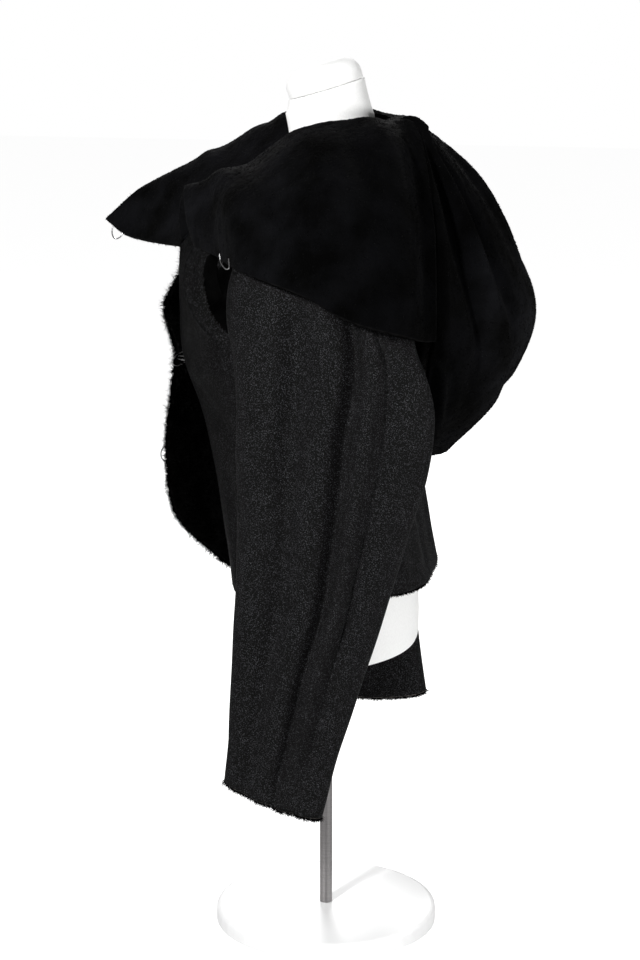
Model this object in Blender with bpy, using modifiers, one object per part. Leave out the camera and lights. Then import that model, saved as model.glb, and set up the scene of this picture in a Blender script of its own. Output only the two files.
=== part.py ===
"""A short, raw-edged shearling jacket with a wide wool collar and a hood, on a limbless dress form.

Lengths are metres. The floor is z = 0 and the stand's pole is the z axis. The wearer faces -Y and the
wearer's left is +X. The left collar is folded down over the shoulder, the right collar stands forward,
and the hood hangs behind as a pouch.
"""

import math

import bpy
import numpy as np

# Driving sizes
WALL = 0.006  # skin with its clipped wool
SEAM = 0.0005  # left between two pieces that stand on each other
SEAM_STEP = 0.001  # left on each side of a seam, in a surface's u or v
SLEEVE_STEP = 0.0016  # likewise on a sleeve, in turns
SIDE_SEAM_ROWS = 5  # rows of the body's tables below the armhole
ARMHOLE_TOP = 7 / 9  # a panel's u one row below its shoulder seam
SHOULDER = 8 / 9  # a panel's u at its shoulder seam
NUDGE = 1e-4  # step for a surface's slopes, in u or v

BASE_RADIUS = 0.150
BASE_HEIGHT = 0.022
POLE_RADIUS = 0.0085
FORM_BOTTOM = 0.400
SOCKET_RADIUS = 0.019
SOCKET_HEIGHT = 0.030
NECK_Z = 1.132  # middle of the neck's cut
NECK_TILT = math.radians(17)  # the cut rises towards the back
NECK_RADIUS = 0.0485
CAP_RADIUS = 0.0492
CAP_HEIGHT = 0.032
CAP_ROUND = 0.022  # radius of its domed edge
SOCKET_ROUND = 0.003
POLE_ROUND = 0.001
BASE_ROUND = 0.006  # of its top edge
BASE_FOOT_ROUND = 0.001
WIRE = 0.0009  # radius of the hooks' and eyes' wire
CLEAR = 0.0004  # left between a wire and the cloth that it is sewn to

# The dress form's level sections: height, half width, depth in front, depth behind
FORM_SECTIONS = (
    (FORM_BOTTOM, 0.146, 0.104, 0.116),
    (0.408, 0.153, 0.110, 0.122),
    (0.450, 0.159, 0.112, 0.123),
    (0.510, 0.160, 0.110, 0.118),
    (0.600, 0.146, 0.100, 0.104),
    (0.700, 0.125, 0.088, 0.092),
    (0.780, 0.130, 0.100, 0.095),
    (0.860, 0.144, 0.124, 0.101),
    (0.930, 0.150, 0.120, 0.102),
    (0.990, 0.153, 0.090, 0.094),
    (1.030, 0.145, 0.064, 0.080),
    (1.046, 0.127, 0.050, 0.068),
    (1.060, 0.0955, 0.044, 0.062),
    (1.078, 0.069, 0.047, 0.063),
    (1.100, 0.058, 0.052, 0.061),
)

# Half of the back, from its centre line to its side seam and armhole, and from the hem up
BACK = (
    ((0.000, 0.140, 0.498), (0.075, 0.136, 0.500), (0.140, 0.108, 0.506), (0.186, 0.040, 0.506)),
    ((0.000, 0.127, 0.560), (0.075, 0.124, 0.560), (0.138, 0.099, 0.565), (0.182, 0.036, 0.565)),
    ((0.000, 0.115, 0.650), (0.073, 0.112, 0.650), (0.134, 0.088, 0.650), (0.178, 0.032, 0.650)),
    ((0.000, 0.120, 0.730), (0.073, 0.117, 0.730), (0.134, 0.090, 0.730), (0.179, 0.030, 0.730)),
    ((0.000, 0.131, 0.800), (0.075, 0.128, 0.800), (0.138, 0.099, 0.800), (0.184, 0.037, 0.800)),
    ((0.000, 0.132, 0.880), (0.072, 0.130, 0.880), (0.126, 0.120, 0.875), (0.166, 0.111, 0.870)),
    ((0.000, 0.122, 0.955), (0.070, 0.120, 0.955), (0.122, 0.116, 0.950), (0.164, 0.115, 0.945)),
    ((0.000, 0.106, 1.025), (0.060, 0.102, 1.025), (0.116, 0.090, 1.024), (0.175, 0.089, 1.002)),
    ((0.000, 0.089, 1.080), (0.050, 0.074, 1.083), (0.090, 0.013, 1.084), (0.186, 0.030, 1.032)),
)

# The left front, from its free edge to its side seam and armhole, and from the hem up
LEFT_FRONT = (
    ((0.088, -0.106, 0.494), (0.128, -0.090, 0.494), (0.167, -0.045, 0.498), (0.186, 0.039, 0.500)),
    ((0.074, -0.118, 0.560), (0.119, -0.100, 0.560), (0.162, -0.050, 0.562), (0.182, 0.035, 0.565)),
    ((0.046, -0.137, 0.645), (0.101, -0.114, 0.650), (0.154, -0.062, 0.650), (0.178, 0.031, 0.650)),
    ((0.022, -0.160, 0.715), (0.086, -0.130, 0.725), (0.150, -0.074, 0.730), (0.179, 0.029, 0.730)),
    ((0.006, -0.188, 0.785), (0.074, -0.155, 0.795), (0.146, -0.096, 0.800), (0.184, 0.022, 0.800)),
    ((0.008, -0.191, 0.850), (0.076, -0.165, 0.862), (0.138, -0.122, 0.868), (0.166, -0.051, 0.870)),
    ((0.012, -0.190, 0.895), (0.076, -0.160, 0.920), (0.133, -0.120, 0.938), (0.164, -0.055, 0.945)),
    ((0.017, -0.188, 0.920), (0.071, -0.131, 0.968), (0.122, -0.062, 1.024), (0.175, -0.029, 1.002)),
    ((0.020, -0.187, 0.930), (0.064, -0.105, 1.004), (0.090, 0.013, 1.084), (0.186, 0.030, 1.032)),
)

# The right front likewise, mirrored, standing further forward above and below the waist hook
RIGHT_FRONT = (
    ((0.062, -0.150, 0.480), (0.112, -0.124, 0.484), (0.164, -0.060, 0.492), (0.186, 0.039, 0.500)),
    ((0.042, -0.212, 0.550), (0.102, -0.156, 0.556), (0.160, -0.075, 0.560), (0.182, 0.035, 0.565)),
    ((0.030, -0.221, 0.645), (0.092, -0.164, 0.650), (0.156, -0.084, 0.650), (0.178, 0.031, 0.650)),
    ((0.020, -0.212, 0.715), (0.086, -0.158, 0.725), (0.151, -0.084, 0.730), (0.179, 0.029, 0.730)),
    ((0.007, -0.202, 0.780), (0.076, -0.156, 0.795), (0.146, -0.096, 0.800), (0.184, 0.022, 0.800)),
    ((0.016, -0.217, 0.840), (0.078, -0.166, 0.860), (0.138, -0.122, 0.868), (0.166, -0.051, 0.870)),
    ((0.016, -0.195, 0.890), (0.077, -0.159, 0.918), (0.133, -0.120, 0.938), (0.164, -0.055, 0.945)),
    ((0.017, -0.190, 0.916), (0.071, -0.131, 0.968), (0.122, -0.062, 1.024), (0.175, -0.029, 1.002)),
    ((0.020, -0.188, 0.930), (0.064, -0.105, 1.004), (0.090, 0.013, 1.084), (0.186, 0.030, 1.032)),
)

# Sections of each sleeve from armhole to cuff: outer x and z, inner x and z, front y, back y, how far
# the front and back edges are drawn in towards the body, and how much lower the back edge lies
LEFT_SLEEVE = (
    (0.1908, 1.033, 0.1908, 0.799, -0.058, 0.118, 0.022, 0.000),
    (0.222, 1.012, 0.194, 0.786, -0.089, 0.130, 0.016, 0.000),
    (0.256, 0.968, 0.197, 0.770, -0.094, 0.138, 0.010, 0.000),
    (0.280, 0.905, 0.201, 0.750, -0.078, 0.149, 0.005, 0.000),
    (0.286, 0.825, 0.203, 0.715, -0.066, 0.172, 0.000, 0.000),
    (0.286, 0.730, 0.204, 0.655, -0.066, 0.164, 0.000, 0.004),
    (0.282, 0.630, 0.204, 0.585, -0.067, 0.139, 0.000, 0.008),
    (0.278, 0.530, 0.206, 0.505, -0.069, 0.113, 0.000, 0.014),
    (0.274, 0.430, 0.208, 0.415, -0.074, 0.082, 0.000, 0.022),
    (0.271, 0.340, 0.210, 0.332, -0.079, 0.054, 0.000, 0.032),
    (0.268, 0.261, 0.212, 0.259, -0.086, 0.034, 0.000, 0.042),
)
RIGHT_SLEEVE = (
    (0.1908, 1.033, 0.1908, 0.799, -0.058, 0.118, 0.022, 0.000),
    (0.222, 1.012, 0.194, 0.786, -0.075, 0.125, 0.016, 0.000),
    (0.258, 0.972, 0.197, 0.770, -0.086, 0.128, 0.010, 0.000),
    (0.282, 0.905, 0.201, 0.750, -0.086, 0.125, 0.005, 0.000),
    (0.292, 0.825, 0.203, 0.715, -0.078, 0.116, 0.000, 0.000),
    (0.295, 0.730, 0.204, 0.655, -0.072, 0.102, 0.000, 0.002),
    (0.293, 0.630, 0.204, 0.585, -0.068, 0.090, 0.000, 0.004),
    (0.290, 0.530, 0.206, 0.505, -0.060, 0.084, 0.000, 0.004),
    (0.286, 0.430, 0.208, 0.415, -0.048, 0.084, 0.000, 0.002),
    (0.280, 0.340, 0.210, 0.332, -0.036, 0.088, 0.000, 0.000),
    (0.274, 0.251, 0.212, 0.249, -0.025, 0.100, 0.000, -0.006),
)
FRONT_SEAM = -0.08  # turns of a section, from its front edge over the outer face
BACK_SEAM = 0.345
GROOVE_DEPTH = 0.009
RIDGE_HEIGHT = 0.006
# The sleeve's long fold: along the sleeve, its place across the outer face, its width in turns
FOLD = ((0.0, 0.300, 0.0), (0.25, 0.262, 0.6), (0.45, 0.262, 1.0), (0.7, 0.258, 1.0), (1.0, 0.238, 0.7))
FOLD_WIDTH = 0.028
RIDGE_SHIFT = 0.055

# The left collar from its front end to the hood: neck seam, stand, fold, shoulder, upper arm, free edge
LEFT_COLLAR = (
    ((0.022, -0.187, 0.937), (0.045, -0.183, 0.978), (0.085, -0.167, 1.012),
     (0.115, -0.160, 1.005), (0.138, -0.151, 0.980), (0.146, -0.140, 0.948)),
    ((0.045, -0.148, 0.973), (0.070, -0.145, 1.003), (0.104, -0.128, 1.028),
     (0.142, -0.118, 1.018), (0.178, -0.111, 0.985), (0.197, -0.101, 0.944)),
    ((0.066, -0.092, 1.022), (0.085, -0.090, 1.038), (0.115, -0.078, 1.046),
     (0.168, -0.070, 1.037), (0.232, -0.064, 1.006), (0.272, -0.052, 0.937)),
    ((0.083, -0.035, 1.070), (0.096, -0.032, 1.080), (0.122, -0.018, 1.081),
     (0.184, -0.008, 1.066), (0.258, 0.008, 1.016), (0.303, 0.024, 0.917)),
    ((0.088, 0.020, 1.092), (0.097, 0.026, 1.099), (0.122, 0.045, 1.100),
     (0.188, 0.056, 1.079), (0.266, 0.068, 1.018), (0.313, 0.082, 0.890)),
    ((0.077, 0.056, 1.091), (0.090, 0.068, 1.098), (0.115, 0.090, 1.101),
     (0.172, 0.108, 1.076), (0.244, 0.130, 1.005), (0.290, 0.143, 0.870)),
)

# The right collar likewise, mirrored: its front end stands forward to a corner
RIGHT_COLLAR = (
    ((0.022, -0.191, 0.937), (0.048, -0.214, 0.924), (0.075, -0.242, 0.917),
     (0.100, -0.271, 0.916), (0.122, -0.300, 0.920), (0.140, -0.328, 0.936)),
    ((0.045, -0.148, 0.979), (0.070, -0.171, 0.984), (0.098, -0.198, 0.988),
     (0.122, -0.225, 0.990), (0.146, -0.252, 0.988), (0.165, -0.275, 0.980)),
    ((0.066, -0.092, 1.024), (0.086, -0.109, 1.034), (0.110, -0.128, 1.040),
     (0.132, -0.146, 1.041), (0.155, -0.163, 1.036), (0.178, -0.178, 1.023)),
    ((0.084, -0.033, 1.067), (0.097, -0.046, 1.079), (0.115, -0.060, 1.087),
     (0.140, -0.072, 1.086), (0.170, -0.085, 1.076), (0.200, -0.095, 1.054)),
    ((0.088, 0.018, 1.092), (0.098, 0.018, 1.097), (0.122, 0.015, 1.096),
     (0.165, 0.008, 1.084), (0.215, 0.000, 1.054), (0.255, -0.005, 1.010)),
    ((0.077, 0.055, 1.090), (0.090, 0.061, 1.090), (0.115, 0.067, 1.081),
     (0.166, 0.078, 1.061), (0.226, 0.092, 1.002), (0.272, 0.100, 0.925)),
)

# The hood from its left side edge to its right: the collar's six places, then its belly and tip
HOOD = (
    ((0.058, 0.076, 1.091), (0.074, 0.093, 1.098), (0.100, 0.127, 1.098), (0.132, 0.146, 1.056),
     (0.174, 0.162, 0.975), (0.215, 0.171, 0.851), (0.176, 0.157, 0.758), (0.070, 0.148, 0.675)),
    ((0.030, 0.087, 1.095), (0.045, 0.104, 1.099), (0.062, 0.134, 1.088), (0.084, 0.174, 1.038),
     (0.110, 0.218, 0.953), (0.128, 0.247, 0.853), (0.098, 0.216, 0.750), (0.036, 0.160, 0.672)),
    ((0.000, 0.092, 1.092), (0.000, 0.109, 1.093), (0.000, 0.140, 1.070), (0.000, 0.196, 1.015),
     (0.000, 0.241, 0.934), (0.000, 0.269, 0.848), (0.000, 0.230, 0.748), (0.000, 0.162, 0.671)),
    ((-0.030, 0.086, 1.093), (-0.045, 0.099, 1.089), (-0.064, 0.124, 1.064), (-0.088, 0.162, 1.010),
     (-0.110, 0.208, 0.936), (-0.128, 0.240, 0.846), (-0.098, 0.210, 0.748), (-0.036, 0.158, 0.672)),
    ((-0.058, 0.074, 1.087), (-0.074, 0.087, 1.086), (-0.100, 0.104, 1.074), (-0.134, 0.126, 1.035),
     (-0.172, 0.148, 0.955), (-0.215, 0.164, 0.845), (-0.172, 0.156, 0.754), (-0.070, 0.148, 0.675)),
)

# Hooks and eyes: what carries each one, its two legs in the carrier's u and v, the face they lie on,
# the bow's reach past the edge, and how far the bow leans off the straight way out
FASTENERS = (
    (
        "hook_collar", "left_collar",
        ((0.18, 0.81), (0.18, 5 / 6), (0.235, 5 / 6), (0.235, 0.81)), -1, 0.007, (0, 0, 0),
    ),
    (
        "eye_collar", "right_collar",
        ((0.035, 0.775), (0, 0.78), (0, 0.69), (0.035, 0.7)), -1, 0.009, (0, 0, -0.6),
    ),
    (
        "hook_upper", "left_front",
        ((0.745, 0.03), (0.745, 0), (0.67, 0), (0.67, 0.03)), 1, 0.020, (0, -0.1, -0.5),
    ),
    (
        "hook_waist", "left_front",
        ((0.433, 0.04), (0.433, 0), (0.424, 0), (0.424, 0.04)), 1, 0.013, (0, -1.3, 0),
    ),
    (
        "eye_waist", "right_front",
        ((0.4444, 0.06), (0.4444, 0), (0.4175, 0), (0.4175, 0.06)), -1, 0.011, (0, 0, 0),
    ),
    (
        "eye_lower", "right_front",
        ((0.225, 0.04), (0.225, 0), (0.198, 0), (0.198, 0.04)), 1, 0.009, (0, 0, 0),
    ),
)


def material(name, colour, roughness, metallic=0.0):
    """A plain surface of one colour."""
    made = bpy.data.materials.new(name)
    made.use_nodes = True
    shader = made.node_tree.nodes["Principled BSDF"]
    shader.inputs["Base Color"].default_value = (*colour, 1.0)
    shader.inputs["Roughness"].default_value = roughness
    shader.inputs["Metallic"].default_value = metallic
    return made


def place(name, mesh, look):
    """Adds a mesh as a named object of the jacket's collection."""
    mesh.materials.append(look)
    made = bpy.data.objects.new(name, mesh)
    bpy.data.collections["shearling_jacket"].objects.link(made)
    return made


def weights(t, count):
    """Catmull-Rom weights of evenly spaced knots, one row for each t from 0 to 1."""
    at = t * (count - 1)
    first = np.clip(at.astype(int), 0, count - 2)
    s = at - first
    basis = (-s + 2 * s**2 - s**3, 2 - 5 * s**2 + 3 * s**3, s + 4 * s**2 - 3 * s**3, s**3 - s**2)
    rows = np.zeros((len(t), count + 2))
    for step, part in enumerate(basis):
        rows[np.arange(len(t)), first + step] += part / 2
    rows[:, 1] += 2 * rows[:, 0]
    rows[:, 2] -= rows[:, 0]
    rows[:, -2] += 2 * rows[:, -1]
    rows[:, -3] -= rows[:, -1]
    return rows[:, 1:-1]


def patch(rows, side=1):
    """The smooth surface through a table of points: u runs down its rows and v along each row."""
    table = np.array(rows) * (side, 1, 1)

    def surface(u, v):
        return np.einsum("ni,nj,ijk->nk", weights(u, len(table)), weights(v, table.shape[1]), table)

    return surface


def run_on(table):
    """A table with one more column, which carries on as the table ends."""
    table = np.array(table)
    column = 2 * table[:, -1] - table[:, -2]
    return np.concatenate([table, column[:, None]], axis=1)


def panel(table, neighbour):
    """A front's or the back's table with a column past its side seam and a row past its shoulder seam.

    Beside those two seams they hold the neighbour's points, so that both panels meet smoothly.
    """
    wide = run_on(table)
    beside = np.array(neighbour)
    wide[:SIDE_SEAM_ROWS, -1] = beside[:SIDE_SEAM_ROWS, -2]
    row = 2 * wide[-1] - wide[-2]
    row[2:4] = beside[-2, 2:4]
    return np.concatenate([wide, row[None]])


def shouldered(surface, spans):
    """Draws a panel's top row onto a straight shoulder seam over each span of v."""

    def drawn(u, v):
        points = surface(u, v)
        rise = np.clip((u - ARMHOLE_TOP) / (SHOULDER - ARMHOLE_TOP), 0, 1)
        edge = surface(np.full(len(v), SHOULDER), v)
        for low, high in spans:
            along = (v - low) / (high - low)
            ends = surface(np.full(2, SHOULDER), np.array([low, high]))
            pull = ends[0] + along[:, None] * (ends[1] - ends[0]) - edge
            pull *= (rise**2 * (3 - 2 * rise) * (abs(along - 0.5) < 0.5))[:, None]
            points += pull
        return points

    return drawn


def front_surface(front, side=1):
    """A front from its free edge (v = 0) to its side seam (v = 3 / 4), and from the hem up."""
    return shouldered(patch(panel(front, BACK), side), [(1 / 2, 3 / 4)])


def back_surface():
    """The back from side to side, with its side seams at v = 1 / 8 and 7 / 8."""
    right = panel(BACK, RIGHT_FRONT) * (-1, 1, 1)
    left = panel(BACK, LEFT_FRONT)
    both = np.concatenate([right[:, :0:-1], left], axis=1)
    return shouldered(patch(both), [(1 / 8, 1 / 4), (3 / 4, 7 / 8)])


def collar_surface(collar, side=1):
    """A collar from its front end (u = 0) to the hood (u = 6 / 7), and from neck seam to free edge."""
    hood = np.array(HOOD)[::side, :7] * (side, 1, 1)
    return patch(np.concatenate([run_on(collar), hood[:2]]), side)


def hood_surface():
    """The hood from its left side edge (u = 1 / 6) to its right one (u = 5 / 6), and down to its tip."""
    hood = np.array(HOOD)
    rows = []
    for side, collar in ((1, LEFT_COLLAR), (-1, RIGHT_COLLAR)):
        edge, inner = hood[::side][:2]
        rows.append(2 * edge - inner)
        rows[-1][:6] = np.array(collar[-1]) * (side, 1, 1)
    return patch([rows[0], *hood, rows[1]])


def sleeve(sections, side):
    """A sleeve's surface: u is turns from the front edge over the outer face, v runs to the cuff."""
    sections = np.array(sections)
    fold = np.array(FOLD)

    def surface(u, v):
        values = weights(v, len(sections)) @ sections
        out_x, out_z, in_x, in_z, front, back, drawn, slant = values.T
        forward = np.cos(2 * math.pi * u)
        outward = np.sin(2 * math.pi * u)
        place_of_fold = np.interp(v, fold[:, 0], fold[:, 1])
        strength = np.interp(v, fold[:, 0], fold[:, 2])
        groove = np.exp(-(((u - place_of_fold) / FOLD_WIDTH) ** 2))
        ridge = np.exp(-(((u - place_of_fold - RIDGE_SHIFT) / FOLD_WIDTH) ** 2))
        relief = strength * (RIDGE_HEIGHT * ridge - GROOVE_DEPTH * groove)
        x = (out_x + in_x) / 2 + (out_x - in_x) / 2 * outward - drawn * forward**2 + relief
        y = (front + back) / 2 - (back - front) / 2 * forward
        z = (out_z + in_z) / 2 + (out_z - in_z) / 2 * outward + slant / 2 * forward
        return np.stack([side * x, y, z], axis=1)

    return surface


def wall(name, surface, cells, look, us=(0, 1), vs=(0, 1), outside=1):
    """A closed wall about a surface over a span of its u and v, square at its rims."""
    columns, rows = cells
    grid = np.meshgrid(np.linspace(*us, columns + 1), np.linspace(*vs, rows + 1), indexing="ij")
    u, v = grid[0].ravel(), grid[1].ravel()
    across = surface(u + NUDGE, v) - surface(u - NUDGE, v)
    along = surface(u, v + NUDGE) - surface(u, v - NUDGE)
    normal = outside * np.cross(across, along)
    normal *= WALL / 2 / np.linalg.norm(normal, axis=1, keepdims=True)
    middle = surface(u, v)
    points = np.concatenate([middle + normal, middle - normal])
    index = np.arange(len(u)).reshape(columns + 1, rows + 1)
    corners = [index[:-1, :-1], index[1:, :-1], index[1:, 1:], index[:-1, 1:]]
    front = np.stack([corner.ravel() for corner in corners], axis=1)
    back = front[:, ::-1] + len(u)
    rim = np.concatenate([index[:-1, 0], index[-1, :-1], index[:0:-1, -1], index[0, :0:-1]])
    after = np.roll(rim, -1)
    sides = np.stack([rim, rim + len(u), after + len(u), after], axis=1)
    faces = np.concatenate([front, back, sides])[:, ::outside]
    mesh = bpy.data.meshes.new(name)
    mesh.from_pydata(points.tolist(), [], faces.tolist())
    mesh.shade_smooth()
    return place(name, mesh, look)


def ring(height, half_width, front, back, sides=40, tilt=0.0):
    """One section of the dress form as a loop of points."""
    turn = 2 * math.pi * np.arange(sides) / sides
    y = np.where(np.sin(turn) < 0, front, back) * np.sin(turn)
    return np.stack([half_width * np.cos(turn), y, height + y * math.tan(tilt)], axis=1)


def dress_form(look):
    """The limbless torso: its sections, closed by the tilted cut of the neck."""
    rings = [ring(*section) for section in FORM_SECTIONS]
    rings.append(ring(NECK_Z - SEAM, NECK_RADIUS, NECK_RADIUS, NECK_RADIUS, tilt=NECK_TILT))
    sides = len(rings[0])
    mesh = bpy.data.meshes.new("form_body")
    faces = [tuple(range(sides))[::-1]]
    for level in range(len(rings) - 1):
        for i in range(sides):
            j = (i + 1) % sides
            low, high = level * sides, (level + 1) * sides
            faces.append((low + i, low + j, high + j, high + i))
    faces.append(tuple(range((len(rings) - 1) * sides, len(rings) * sides)))
    mesh.from_pydata(np.concatenate(rings).tolist(), [], faces)
    mesh.shade_smooth()
    return place("form_body", mesh, look)


def turned(name, profile, look, location=(0, 0, 0), tilt=0.0, steps=40):
    """A turned piece: a profile of (radius, height) from top to bottom, closed on the axis."""
    mesh = bpy.data.meshes.new(name)
    points = [(radius, 0.0, height) for radius, height in profile]
    mesh.from_pydata(points, [(i, i + 1) for i in range(len(points) - 1)], [])
    made = place(name, mesh, look)
    made.location = location
    made.rotation_euler = (tilt, 0, 0)
    screw = made.modifiers.new("turn", "SCREW")
    screw.steps = screw.render_steps = steps
    screw.use_merge_vertices = True
    screw.merge_threshold = 0.0001
    return made


def disc(radius, bottom, top, round_top, round_bottom=0.0):
    """A disc's profile, with its edges rounded by arcs of four steps."""
    angles = [math.radians(a) for a in (90, 67.5, 45, 22.5, 0)]
    profile = [(0.0, top)]
    for a in angles:
        profile.append((radius + round_top * (math.cos(a) - 1), top + round_top * (math.sin(a) - 1)))
    for a in angles[::-1] if round_bottom else ():
        low = bottom + round_bottom * (1 - math.sin(a))
        profile.append((radius + round_bottom * (math.cos(a) - 1), low))
    if not round_bottom:
        profile.append((radius, bottom))
    profile.append((0.0, bottom))
    return profile


def wire(name, points, look):
    """A bent wire through a list of points."""
    curve = bpy.data.curves.new(name, "CURVE")
    curve.dimensions = "3D"
    curve.bevel_depth = WIRE
    curve.bevel_resolution = 2
    curve.use_fill_caps = True
    spline = curve.splines.new("POLY")
    spline.points.add(len(points) - 1)
    for point, place_of_point in zip(spline.points, points):
        point.co = (*place_of_point, 1.0)
    curve.materials.append(look)
    made = bpy.data.objects.new(name, curve)
    bpy.data.collections["shearling_jacket"].objects.link(made)
    return made


def lifted(surface, u, v, face):
    """A point where a wire lies on one face of a wall, just clear of it."""
    u, v = np.array([u]), np.array([v])
    across = surface(u + NUDGE, v) - surface(u - NUDGE, v)
    along = surface(u, v + NUDGE) - surface(u, v - NUDGE)
    normal = np.cross(across, along)[0]
    return surface(u, v)[0] + face * (WALL / 2 + WIRE + CLEAR) * normal / np.linalg.norm(normal)


def loop(surface, legs, face, reach, lean, steps=10):
    """A loop of wire past a wall's edge: two legs lie on one face, the bow between them reaches out.

    Each leg is the u and v of its inner end, then of its point at the edge.
    """
    inner_a, edge_a, edge_b, inner_b = (lifted(surface, u, v, face) for u, v in legs)
    out = edge_a - inner_a + edge_b - inner_b
    out = out / np.linalg.norm(out) + np.array(lean)
    turn = np.linspace(0, math.pi, steps + 1)[1:-1, None]
    bow = (edge_a + edge_b) / 2 + (edge_a - edge_b) / 2 * np.cos(turn) + reach * out * np.sin(turn)
    return [inner_a, edge_a, *bow, edge_b, inner_b]


def build():
    """Makes the scene's objects afresh."""
    for old in list(bpy.data.objects):
        bpy.data.objects.remove(old, do_unlink=True)
    bpy.context.scene.collection.children.link(bpy.data.collections.new("shearling_jacket"))
    skin = material("glinting black skin", (0.012, 0.012, 0.013), 0.55)
    wool = material("black clipped wool", (0.008, 0.008, 0.009), 0.95)
    metal = material("steel wire", (0.55, 0.54, 0.52), 0.30, 1.0)
    cloth = material("white form cloth", (0.82, 0.82, 0.81), 0.85)
    steel = material("brushed steel", (0.45, 0.45, 0.46), 0.38, 1.0)
    paint = material("white paint", (0.85, 0.85, 0.85), 0.45)

    left_front = front_surface(LEFT_FRONT)
    right_front = front_surface(RIGHT_FRONT, -1)
    left_collar = collar_surface(LEFT_COLLAR)
    right_collar = collar_surface(RIGHT_COLLAR, -1)
    to_side = (0, 3 / 4 - SEAM_STEP)
    to_shoulder = (0, SHOULDER - SEAM_STEP)
    sides = (1 / 8 + SEAM_STEP, 7 / 8 - SEAM_STEP)
    wall("back", back_surface(), (20, 18), skin, us=to_shoulder, vs=sides)
    wall("front_left", left_front, (20, 10), skin, us=to_shoulder, vs=to_side, outside=-1)
    wall("front_right", right_front, (20, 10), skin, us=to_shoulder, vs=to_side)
    for side, word, sections in ((1, "left", LEFT_SLEEVE), (-1, "right", RIGHT_SLEEVE)):
        surface = sleeve(sections, side)
        top = (FRONT_SEAM + SLEEVE_STEP, BACK_SEAM - SLEEVE_STEP)
        under = (BACK_SEAM + SLEEVE_STEP, 1 + FRONT_SEAM - SLEEVE_STEP)
        wall(f"sleeve_{word}_top", surface, (16, 18), skin, us=top, outside=-side)
        wall(f"sleeve_{word}_under", surface, (12, 18), skin, us=under, outside=-side)
    to_hood = (0, 6 / 7 - SEAM_STEP)
    wall("collar_left", left_collar, (18, 12), wool, us=to_hood, vs=(0, 5 / 6))
    wall("collar_right", right_collar, (18, 12), wool, us=to_hood, vs=(0, 5 / 6), outside=-1)
    wall("hood", hood_surface(), (20, 18), wool, us=(1 / 6 + SEAM_STEP, 5 / 6 - SEAM_STEP))

    carriers = {
        "left_front": left_front,
        "right_front": right_front,
        "left_collar": left_collar,
        "right_collar": right_collar,
    }
    for name, carrier, legs, face, reach, lean in FASTENERS:
        wire(name, loop(carriers[carrier], legs, face, reach, lean), metal)

    dress_form(cloth)
    cap = disc(CAP_RADIUS, 0.0, CAP_HEIGHT, CAP_ROUND)
    turned("form_neck_cap", cap, cloth, (0, 0, NECK_Z), NECK_TILT)
    socket_bottom = FORM_BOTTOM - SOCKET_HEIGHT
    socket = disc(SOCKET_RADIUS, socket_bottom, FORM_BOTTOM - SEAM, SOCKET_ROUND, SOCKET_ROUND)
    turned("form_socket", socket, steel, steps=24)
    pole = disc(POLE_RADIUS, BASE_HEIGHT + SEAM, socket_bottom - SEAM, POLE_ROUND)
    turned("stand_pole", pole, steel, steps=16)
    base = disc(BASE_RADIUS, 0.0, BASE_HEIGHT, BASE_ROUND, BASE_FOOT_ROUND)
    turned("stand_base", base, paint, steps=48)


build()
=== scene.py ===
"""Looks of a black shearling jacket with a wide wool collar and a hanging hood, on a white dress form.

Lengths are metres. The floor is z = 0, the pole is the z axis, the wearer faces -Y and the wearer's
left is +X. Each section is one piece or group of like pieces, from the floor up.
"""

import math

import bpy
import numpy as np
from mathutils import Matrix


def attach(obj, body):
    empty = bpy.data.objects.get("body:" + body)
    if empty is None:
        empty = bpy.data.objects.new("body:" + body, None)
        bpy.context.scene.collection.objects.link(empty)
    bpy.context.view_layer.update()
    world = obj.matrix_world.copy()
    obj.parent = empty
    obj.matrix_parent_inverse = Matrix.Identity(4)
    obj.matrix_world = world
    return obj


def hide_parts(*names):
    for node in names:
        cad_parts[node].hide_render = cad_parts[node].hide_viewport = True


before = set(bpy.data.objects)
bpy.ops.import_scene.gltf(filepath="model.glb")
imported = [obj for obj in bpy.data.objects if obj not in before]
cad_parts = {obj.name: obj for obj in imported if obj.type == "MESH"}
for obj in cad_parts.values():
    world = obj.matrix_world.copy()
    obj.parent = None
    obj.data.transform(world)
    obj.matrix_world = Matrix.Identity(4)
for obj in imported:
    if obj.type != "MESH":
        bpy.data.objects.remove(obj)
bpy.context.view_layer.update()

# Camera: a long lens a little above the collar, on the wearer's left and slightly behind. A small step
# aside puts the form's axis right of the picture's middle.
camera = bpy.data.objects.new("camera", bpy.data.cameras.new("camera"))
bpy.context.scene.collection.objects.link(camera)
camera.data.lens = 99.45
camera.data.sensor_width = 36.0
turn = math.radians(100.0)
toward = np.array([math.sin(turn), -math.cos(turn), 0.0])
aside = np.array([math.cos(turn), math.sin(turn), 0.0])
camera.location = toward * 3.4 - aside * 0.0082 + (0, 0, 1.459)
camera.rotation_euler = (math.radians(90.0 - 13.9), 0.0, turn)
bpy.context.scene.camera = camera

# Studio: a white floor under a white sky. Both are dim as light and plain white to the camera. One lamp
# stands high before the wearer's left shoulder, one low behind it and a weak one on the far side, so folds
# get a light side and a dark side.
world = bpy.data.worlds.new("white room")
bpy.context.scene.world = world
world.use_nodes = True
tree = world.node_tree
sky = tree.nodes["Background"]
sky.inputs["Color"].default_value = (1.0, 1.0, 1.0, 1.0)
sky.inputs["Strength"].default_value = 0.13
behind = tree.nodes.new("ShaderNodeBackground")
behind.inputs["Color"].default_value = (1.0, 1.0, 1.0, 1.0)
seen = tree.nodes.new("ShaderNodeLightPath")
either = tree.nodes.new("ShaderNodeMixShader")
tree.links.new(seen.outputs["Is Camera Ray"], either.inputs["Fac"])
tree.links.new(sky.outputs["Background"], either.inputs[1])
tree.links.new(behind.outputs["Background"], either.inputs[2])
tree.links.new(either.outputs["Shader"], tree.nodes["World Output"].inputs["Surface"])
bpy.context.scene.view_settings.view_transform = "Standard"

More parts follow.
